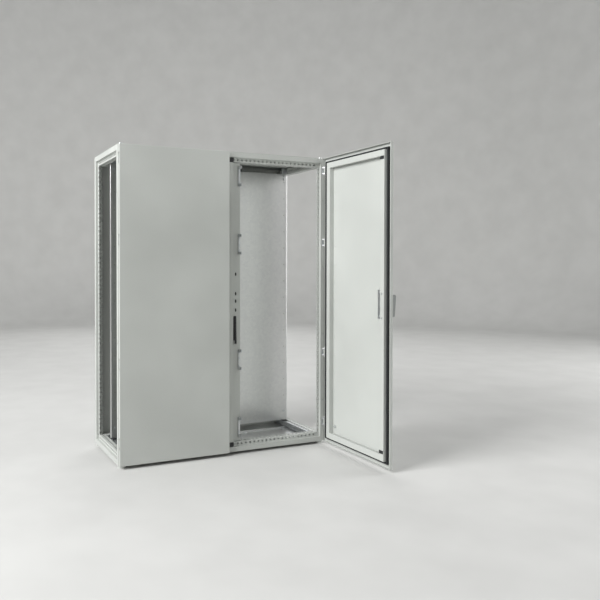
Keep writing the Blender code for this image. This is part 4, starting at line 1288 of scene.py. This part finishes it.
@dataclass
class DoorLeaf:
    """One door: a shallow sheet pan, its tubular stiffening frame, gasket and hinge knuckles."""

    side: Side
    start: float = -0.005
    end: float = 0.592
    outer: float = -0.009
    flange: float = 0.009
    bottom: float = 0.002
    top: float = 1.598
    edge: float = 0.0025
    sheet: float = 0.0015
    hinges: tuple[float, ...] = (0.113, 0.508, 1.126, 1.530)
    notch: float = 0.028
    knuckle: float = 0.005
    knuckle_half: float = 0.013
    strap_half: float = 0.012
    strap_along: tuple[float, float] = (-0.001, 0.011)
    strap_top: float = -0.003
    strap_sunk: float = 0.0002
    ring_width: float = 0.031
    ring_rounding: float = 0.003
    gasket_width: float = 0.0095
    gasket_rounding: float = 0.0042
    gasket_sunk: float = 0.002
    foot: float = -0.0074
    window_hole: Hole = Hole(pitch=0.025, length=0.014, width=0.014)
    marks: int = 15
    mark_pitch: float = 0.1
    mark_along: float = 0.092
    mark_radius: float = 0.004
    mark_height: float = 0.002
    stud_at: tuple[float, float] = (0.101, 0.105)
    stud: tuple[float, float] = (0.003, 0.018)
    stud_washer: tuple[float, float] = (0.0075, 0.0012)
    stud_nut: tuple[float, float] = (0.0058, 0.006)
    place: Matrix = field(init=False)
    body: str = field(init=False)

    def __post_init__(self) -> None:
        """Looks up where the leaf lies and what it moves with."""
        self.place = LAYOUT.leaf[self.side]
        self.body = f"{self.side.value}_door"

    def node(self, part: str) -> str:
        """The CAD name of one of the leaf's parts."""
        return f"{self.side.value}_door_{part}"

    def shell(self) -> None:
        """Makes the pan, with its hinge flange cut away round every knuckle."""
        piece = Workpiece(self.node("pan"))
        piece.box((self.start, self.outer, self.bottom), (self.end, self.flange, self.top), self.edge, 3)
        middle = ((self.start + self.end) / 2, self.flange, (self.bottom + self.top) / 2)
        back = piece.face_near(middle, Y)
        bmesh.ops.delete(piece.form, geom=[back], context="FACES_ONLY")
        hinge_edge = self.start + self.edge
        for height in self.hinges:
            for level in (height - self.notch, height + self.notch):
                piece.split((0, 0, level), Z, lambda centre: centre.x < hinge_edge + ON_LEVEL)
        waste = [
            face for face in piece.form.faces
            if face.calc_center_median().x < hinge_edge + ON_LEVEL
            and face.calc_center_median().y > self.outer + self.edge
            and any(abs(face.calc_center_median().z - height) < self.notch for height in self.hinges)
        ]
        bmesh.ops.delete(piece.form, geom=waste, context="FACES")
        piece.finish(Slot.POWDER_COAT, self.body, self.place, [self.node("shell")], sheet=self.sheet)

    def ring(self) -> None:
        """Makes the tubular frame, punched round its window except on the hinge side."""
        low, high = LAYOUT.leaf_box(self.side, self.node("frame"))
        piece = Workpiece(self.node("stiffener"))
        piece.picture_frame(
            (low.x, low.z), (high.x, high.z), self.ring_width, self.foot, high.y, self.ring_rounding,
            closed=False,
        )
        depth, width = (self.foot + high.y) / 2, self.ring_width
        middle_along, middle_height = (low.x + high.x) / 2, (low.z + high.z) / 2
        for place, facing, run in (
            ((high.x - width, depth, middle_height), (-1, 0, 0), Z),
            ((middle_along, depth, low.z + width), Z, X),
            ((middle_along, depth, high.z - width), (0, 0, -1), X),
        ):
            piece.punch(piece.face_near(place, facing), run, self.window_hole)
        piece.finish(Slot.POWDER_COAT, self.body, self.place, [self.node("frame")])

    def gasket(self) -> None:
        """Makes the foam gasket, round-backed as it is poured."""
        low, high = LAYOUT.leaf_box(self.side, self.node("gasket"))
        piece = Workpiece(self.node("seal"))
        piece.picture_frame(
            (low.x, low.z), (high.x, high.z), self.gasket_width, self.foot, high.y - self.gasket_sunk,
            self.gasket_rounding, 3,
        )
        piece.finish(Slot.FOAM, self.body, self.place, [self.node("gasket")])

    def knuckles(self) -> None:
        """Makes the welded hinge knuckles and the small weld marks beside the frame."""
        piece = Workpiece(self.node("knuckles"))
        inner = self.outer + self.sheet
        near, far = self.strap_along
        for height in self.hinges:
            ends = [(0, 0, height + end * self.knuckle_half) for end in (-1, 1)]
            piece.bar(*ends, self.knuckle, 24, 0.0006, 0.001)
            strap_low = (near, inner - self.strap_sunk, height - self.strap_half)
            piece.box(strap_low, (far, self.strap_top, height + self.strap_half), 0.0006)
        for number in range(self.marks):
            height = self.mark_pitch + self.mark_pitch * number
            ends = [(self.mark_along, inner + rise, height) for rise in (0, self.mark_height)]
            piece.bar(*ends, self.mark_radius, 12, 0.0004)
        piece.finish(Slot.POWDER_COAT, self.body, self.place)

    def earth_stud(self) -> None:
        """Makes the earthing stud with its nut and washer, low on the hinge side."""
        piece = Workpiece(self.node("earth_stud"))
        inner = self.outer + self.sheet
        along, height = self.stud_at
        (stud, tip), (washer, seat), (nut, top) = self.stud, self.stud_washer, self.stud_nut
        root, on_washer = (along, inner, height), (along, inner + seat, height)
        piece.bar(root, (along, inner + tip, height), stud, 14, 0.0005)
        piece.bar(root, on_washer, washer, 24, 0.0003)
        piece.bar(on_washer, (along, inner + top, height), nut, 6, 0.0005)
        piece.finish(Slot.ZINC, self.body, self.place)

    def hinge_brackets(self) -> None:
        """Makes the brackets that carry this door, fixed to the cabinet's post."""
        for number in range(1, len(self.hinges) + 1):
            rounded_part(f"hinge_bracket_{self.side.value}_{number}", Slot.ZINC, "cabinet", 0.0008)

    def build(self) -> None:
        """Makes the door and its hinge brackets."""
        self.shell()
        self.ring()
        self.gasket()
        self.knuckles()
        self.earth_stud()
        self.hinge_brackets()


@dataclass
class CentreStrip:
    """The folded strip on the left door that the right door closes on, with its bolt works."""

    path: tuple[tuple[float, float], ...] = (
        (0.529, 0.0203), (0.5935, 0.0203), (0.5935, 0.011), (0.621, 0.011),
        (0.621, 0.037), (0.675, 0.037), (0.675, 0.056),
    )
    sheet: float = 0.002
    bend: float = 0.002
    hole_heights: tuple[float, ...] = (0.757, 0.805, 0.845, 0.95)
    hole_reach: float = 0.01
    hole: Hole = Hole(pitch=0.030, length=0.020, width=0.010, wall=0.0)
    plug_half: tuple[float, float] = (0.0050, 0.0100)
    plug_sunk: float = 0.0005
    keeper_heights: tuple[float, ...] = (0.125, 0.490, 1.110, 1.475)
    keeper_low: float = 0.6605
    keeper_high: float = 0.6715
    keeper_half: float = 0.055
    keeper_depth: tuple[float, float] = (0.0285, 0.0375)
    prong: tuple[float, float] = (0.003, 0.016)
    prong_depth: tuple[float, float] = (0.011, 0.030)
    keeper_screw_from: float = 0.010
    keeper_screw_top: float = 0.0262
    keeper_screw_radius: float = 0.0042
    lever_along: float = 0.641
    lever_depth: float = 0.0295
    lever_height: float = 0.583
    cheek_off: float = 0.009
    cheek_half: float = 0.0022
    cheek_top: float = 0.0225
    cheek_reach: tuple[float, float] = (0.010, 0.012)
    pin_half: float = 0.0128
    pin_radius: float = 0.0026
    guide_heights: tuple[tuple[float, float], ...] = ((0.0275, 0.0518), (1.5468, 1.5705))
    guide_block: tuple[tuple[float, float], ...] = ((0.594, 0.0115), (0.626, 0.0242))
    guide_foot: tuple[tuple[float, float], ...] = ((0.537, 0.0204), (0.600, 0.0235))
    guide_foot_in: float = 0.0075
    place: Matrix = field(init=False)

    def __post_init__(self) -> None:
        """Looks up where the left door lies."""
        self.place = LAYOUT.leaf[Side.LEFT]

    def strip(self) -> None:
        """Folds the strip and punches the holes of its recessed face."""
        low, high = LAYOUT.leaf_box(Side.LEFT, "left_door_strip")
        piece = Workpiece("left_door_strip_sheet")
        run = (0, 0, high.z - low.z)
        piece.fold(self.path, (0, 0, low.z), X, Y, run, front=(0, -1, 0), bend=self.bend)
        recess = self.path[4][1]
        middle = (self.path[4][0] + self.path[5][0]) / 2
        for height in self.hole_heights:
            for level in (height - self.hole.pitch / 2, height + self.hole.pitch / 2):
                piece.split((0, 0, level), Z, lambda centre: (
                    abs(centre.y - recess) < ON_LEVEL and abs(centre.x - middle) < self.hole_reach
                ))
        for height in self.hole_heights:
            piece.punch(piece.face_near((middle, recess, height), (0, -1, 0)), Z, self.hole)
        piece.finish(Slot.POWDER_COAT, "left_door", self.place, ["left_door_strip"], sheet=self.sheet)

    def plugs(self) -> None:
        """Fills the strip's holes with plastic plugs, inside the sheet so that the rods pass behind."""
        piece = Workpiece("left_door_strip_plugs")
        middle = (self.path[4][0] + self.path[5][0]) / 2
        front = self.path[4][1] + self.plug_sunk
        back = self.path[4][1] + self.sheet - self.plug_sunk
        across, up = self.plug_half
        for height in self.hole_heights:
            piece.box((middle - across, front, height - up), (middle + across, back, height + up), 0.0002)
        piece.finish(Slot.POLYAMIDE, "left_door", self.place)

    def keepers(self) -> None:
        """Makes the four zinc keepers, each a bridge with a pair of prongs at both ends."""
        piece = Workpiece("left_door_keepers")
        near, far, half = self.keeper_low, self.keeper_high, self.keeper_half
        front, back = self.keeper_depth
        prong_top, prong_foot = self.prong_depth
        thick, length = self.prong
        x = (near + far) / 2
        for height in self.keeper_heights:
            piece.box((near, front, height - half), (far, back, height + half), 0.0015)
            for end in (-1, 1):
                tip = height + end * half
                root = tip - end * length
                for along in (near, far - thick):
                    piece.box((along, prong_top, root), (along + thick, prong_foot, tip), 0.0009)
                z = root - end * self.keeper_screw_from
                screw = (x, front, z), (x, self.keeper_screw_top, z)
                piece.bar(*screw, self.keeper_screw_radius, 18, 0.0008, 0.0014)
        piece.finish(Slot.ZINC, "left_door", self.place)

    def lever(self) -> None:
        """Makes the plastic lever, and the cheeks and pin that carry it."""
        rounded_part("left_door_lever", Slot.POLYAMIDE, "left_lever", 0.003, 3)
        cheeks = Workpiece("left_lever_cheeks")
        back, half = self.path[4][1], self.cheek_half
        below, above = self.cheek_reach
        bottom, top = self.lever_height - below, self.lever_height + above
        for side in (-1, 1):
            middle = self.lever_along + side * self.cheek_off
            cheeks.box((middle - half, self.cheek_top, bottom), (middle + half, back, top), 0.0015)
        cheeks.finish(Slot.POWDER_COAT, "left_door", self.place)
        pin = Workpiece("left_lever_pin")
        ends = [
            (self.lever_along + side * self.pin_half, self.lever_depth, self.lever_height)
            for side in (-1, 1)
        ]
        pin.bar(*ends, self.pin_radius, 16, 0.0006)
        pin.finish(Slot.ZINC, "left_door", self.place)

    def corner_guides(self) -> None:
        """Makes the plastic guides at the strip's two ends that centre the doors in the frame."""
        piece = Workpiece("left_door_corner_guides")
        (block_low, block_high), (foot_low, foot_high) = self.guide_block, self.guide_foot
        for low, high in self.guide_heights:
            piece.box((*block_low, low), (*block_high, high), 0.003, 3)
            low, high = low + self.guide_foot_in, high - self.guide_foot_in
            piece.box((*foot_low, low), (*foot_high, high), 0.001)
        piece.finish(Slot.POLYAMIDE, "left_door", self.place)

    def rods(self) -> None:
        """Makes the two flat bolts that the lever drives."""
        for end in ("upper", "lower"):
            rounded_part(f"left_door_rod_{end}", Slot.ZINC, f"left_rod_{end}", 0.0008)

    def build(self) -> None:
        """Makes the strip with all it carries."""
        self.strip()
        self.plugs()
        self.keepers()
        self.lever()
        self.corner_guides()
        self.rods()


@dataclass
class RodLock:
    """The right door's swing handle outside, and the lock case, rods and guides inside."""

    guide_along: tuple[float, float] = (0.5095, 0.5275)
    guide_heights: tuple[float, ...] = (0.0735, 1.5185)
    guide_length: float = 0.0115
    guide_root: float = -0.0076
    guide_leg: float = 0.004
    guide_rise: float = 0.004
    guide_bridge: tuple[float, float] = (-0.0015, 0.003)
    guide_roller_along: tuple[float, float] = (0.0008, 0.0285)
    guide_roller_depth: tuple[float, float] = (0.0195, 0.0238)
    case_face: float = 0.0177
    case_screws_along: tuple[float, ...] = (0.519, 0.547)
    case_screw_inset: float = 0.012
    case_screw_radius: float = 0.0040
    case_screw_reach: tuple[float, float] = (0.001, 0.0015)
    ring_screw_depth: tuple[float, float] = (0.0195, 0.0216)
    ring_screw_radius: float = 0.0045
    ring_screws: tuple[float, ...] = (0.740, 0.859)
    ring_screw_along: float = 0.5425
    place: Matrix = field(init=False)

    def __post_init__(self) -> None:
        """Looks up where the right door lies."""
        self.place = LAYOUT.leaf[Side.RIGHT]

    def handle(self) -> None:
        """Makes the die-cast handle with its folding grip and push button."""
        rounded_part("handle_base", Slot.DIE_CAST, "right_door", 0.004, 3)
        rounded_part("handle_boss", Slot.DIE_CAST, "handle_turning", 0.0008)
        rounded_part("handle_grip", Slot.DIE_CAST, "handle_folding", 0.004, 3)
        rounded_part("handle_button", Slot.ZINC, "push_button", 0.0010, 3)

    def case(self) -> None:
        """Makes the lock case and its four screws."""
        rounded_part("lock_case", Slot.ZINC, "right_door", 0.0015)
        low, high = LAYOUT.leaf_box(Side.RIGHT, "lock_case")
        outer = min(high.y, self.case_face)
        near, far = outer - self.case_screw_reach[0], outer + self.case_screw_reach[1]
        piece = Workpiece("lock_case_screws")
        for z in (low.z + self.case_screw_inset, high.z - self.case_screw_inset):
            for x in self.case_screws_along:
                piece.bar((x, near, z), (x, far, z), self.case_screw_radius, 18, 0.0008, 0.0012)
        near, far = self.ring_screw_depth
        for z in self.ring_screws:
            x = self.ring_screw_along
            piece.bar((x, near, z), (x, far, z), self.ring_screw_radius, 18, 0.0008, 0.0014)
        piece.finish(Slot.ZINC, "right_door", self.place)

    def rods(self) -> None:
        """Makes the two lock rods with their rollers."""
        rounded_part("lock_rod_upper", Slot.ZINC, "lock_rod_up", 0.0006)
        rounded_part("lock_rod_lower", Slot.ZINC, "lock_rod_down", 0.0006)

    def guides(self) -> None:
        """Makes the plastic bridges that the rods run through at the door's free corners."""
        piece = Workpiece("lock_rod_guides")
        near, far = self.guide_along
        under, over = self.guide_bridge
        start, end = (far + along for along in self.guide_roller_along)
        foot, face = self.guide_roller_depth
        for low in self.guide_heights:
            top = low + self.guide_length
            piece.box((near, self.guide_root, low), (near + self.guide_leg, over, top), 0.0008)
            piece.box((near, under, low), (far, over, top), 0.0008)
            piece.box((start, foot, low), (end, face, top + self.guide_rise), 0.0012)
        piece.finish(Slot.POLYAMIDE, "right_door", self.place)

    def build(self) -> None:
        """Makes the handle and the whole lock."""
        self.handle()
        self.case()
        self.rods()
        self.guides()


# ------------------------------------------------------------------ studio


@dataclass
class Studio:
    """A pale floor with a round wall, a large key light from the left, three weaker lamps, a camera."""

    radius: float = 9.0
    cove: float = 1.2
    wall: float = 9.0
    sides: int = 96
    sky: str = "#F2F4F6"
    sky_strength: float = 0.28
    key_watts: float = 610.0
    key_size: float = 3.4
    key_from: tuple[float, float, float] = (-5.8, -1.15, 4.2)
    fill_watts: float = 15.0
    fill_size: float = 4.0
    fill_from: tuple[float, float, float] = (2.5, -6.0, 3.6)
    side_watts: float = 230.0
    side_from: tuple[float, float, float] = (6.2, -1.4, 2.2)
    back_watts: float = 110.0
    back_from: tuple[float, float, float] = (2.0, 6.0, 4.0)
    key_aim: tuple[float, float, float] = (0.2, -0.1, 0.8)
    side_aim: tuple[float, float, float] = (0.0, 0.1, 0.8)
    middle_aim: tuple[float, float, float] = (0.0, 0.0, 0.8)
    lens: float = 40.14
    shift_x: float = 0.133
    shift_y: float = -0.045
    camera_at: tuple[float, float, float] = (-1.5005, -3.1745, 1.029)
    camera_tilt: float = -0.92
    camera_turn: float = -23.93

    def backdrop(self) -> bpy.types.Object:
        """Spins the floor, the cove and the wall in one sweep.

        Returns:
            The backdrop's object.
        """
        form = bmesh.new()
        steps = [
            (self.radius - self.cove + self.cove * math.sin(turn), self.cove - self.cove * math.cos(turn))
            for turn in [math.pi / 2 * step / 8 for step in range(9)]
        ]
        profile = [(0.0, 0.0), *steps, (self.radius, self.wall)]
        points = [form.verts.new((reach, 0, height)) for reach, height in profile]
        edges = [form.edges.new(pair) for pair in zip(points, points[1:])]
        bmesh.ops.spin(
            form, geom=[*points, *edges], cent=(0, 0, 0), axis=Z, angle=math.tau,
            steps=self.sides, use_merge=True, use_duplicate=False,
        )
        bmesh.ops.remove_doubles(form, verts=form.verts, dist=1e-5)
        bmesh.ops.recalc_face_normals(form, faces=form.faces)
        if form.faces and sum(face.normal.z for face in form.faces) < 0:
            bmesh.ops.reverse_faces(form, faces=form.faces)
        mesh = bpy.data.meshes.new("studio_sweep")
        form.to_mesh(mesh)
        form.free()
        mesh.shade_smooth()
        mesh.materials.append(PaleScreed().build())
        sweep = bpy.data.objects.new("studio_sweep", mesh)
        bpy.context.scene.collection.objects.link(sweep)
        return sweep

    def lamp(self, name: str, watts: float, size: float, place: Point, aim: Point) -> bpy.types.Object:
        """Adds a square soft light.

        Args:
            name: its name.
            watts: its power.
            size: its side.
            place: where it hangs.
            aim: what it faces.

        Returns:
            The light's object.
        """
        light = bpy.data.lights.new(name, "AREA")
        light.shape = "SQUARE"
        light.size = size
        light.energy = watts
        lamp = bpy.data.objects.new(name, light)
        lamp.location = place
        lamp.rotation_euler = (Vector(aim) - Vector(place)).to_track_quat("-Z", "Y").to_euler()
        bpy.context.scene.collection.objects.link(lamp)
        return lamp

    def light(self) -> None:
        """Hangs the lights and sets the sky's even glow."""
        self.lamp("key_light", self.key_watts, self.key_size, self.key_from, self.key_aim)
        self.lamp("fill_light", self.fill_watts, self.fill_size, self.fill_from, self.middle_aim)
        self.lamp("side_light", self.side_watts, self.fill_size, self.side_from, self.side_aim)
        self.lamp("back_light", self.back_watts, self.fill_size, self.back_from, self.middle_aim)
        world = bpy.data.worlds.new("studio_sky")
        world.use_nodes = True
        sky = world.node_tree.nodes["Background"]
        sky.inputs["Color"].default_value = linear(self.sky)
        sky.inputs["Strength"].default_value = self.sky_strength
        bpy.context.scene.world = world

    def camera(self) -> None:
        """Sets up the camera at standing height, left of the open door."""
        lens = bpy.data.cameras.new("camera")
        lens.lens = self.lens
        lens.sensor_width = 36.0
        lens.shift_x = self.shift_x
        lens.shift_y = self.shift_y
        lens.dof.use_dof = False
        camera = bpy.data.objects.new("camera", lens)
        camera.location = self.camera_at
        camera.rotation_euler = (math.radians(90 + self.camera_tilt), 0, math.radians(self.camera_turn))
        bpy.context.scene.collection.objects.link(camera)
        bpy.context.scene.camera = camera

    def build(self) -> None:
        """Sets the whole studio."""
        self.backdrop()
        self.light()
        self.camera()
        bpy.context.scene.view_settings.view_transform = "Standard"


def main() -> None:
    """Builds every assembly and the studio, and notes each one as it starts."""
    logging.basicConfig(level=logging.INFO, format="%(name)s: %(message)s")
    assemblies = (
        CabinetFrame(), Cladding(), MountingAssembly(), DoorLeaf(Side.LEFT), DoorLeaf(Side.RIGHT),
        CentreStrip(), RodLock(), Studio(),
    )
    for assembly in assemblies:
        LOG.info("building %s", type(assembly).__name__)
        assembly.build()


if __name__ == "__main__":
    main()
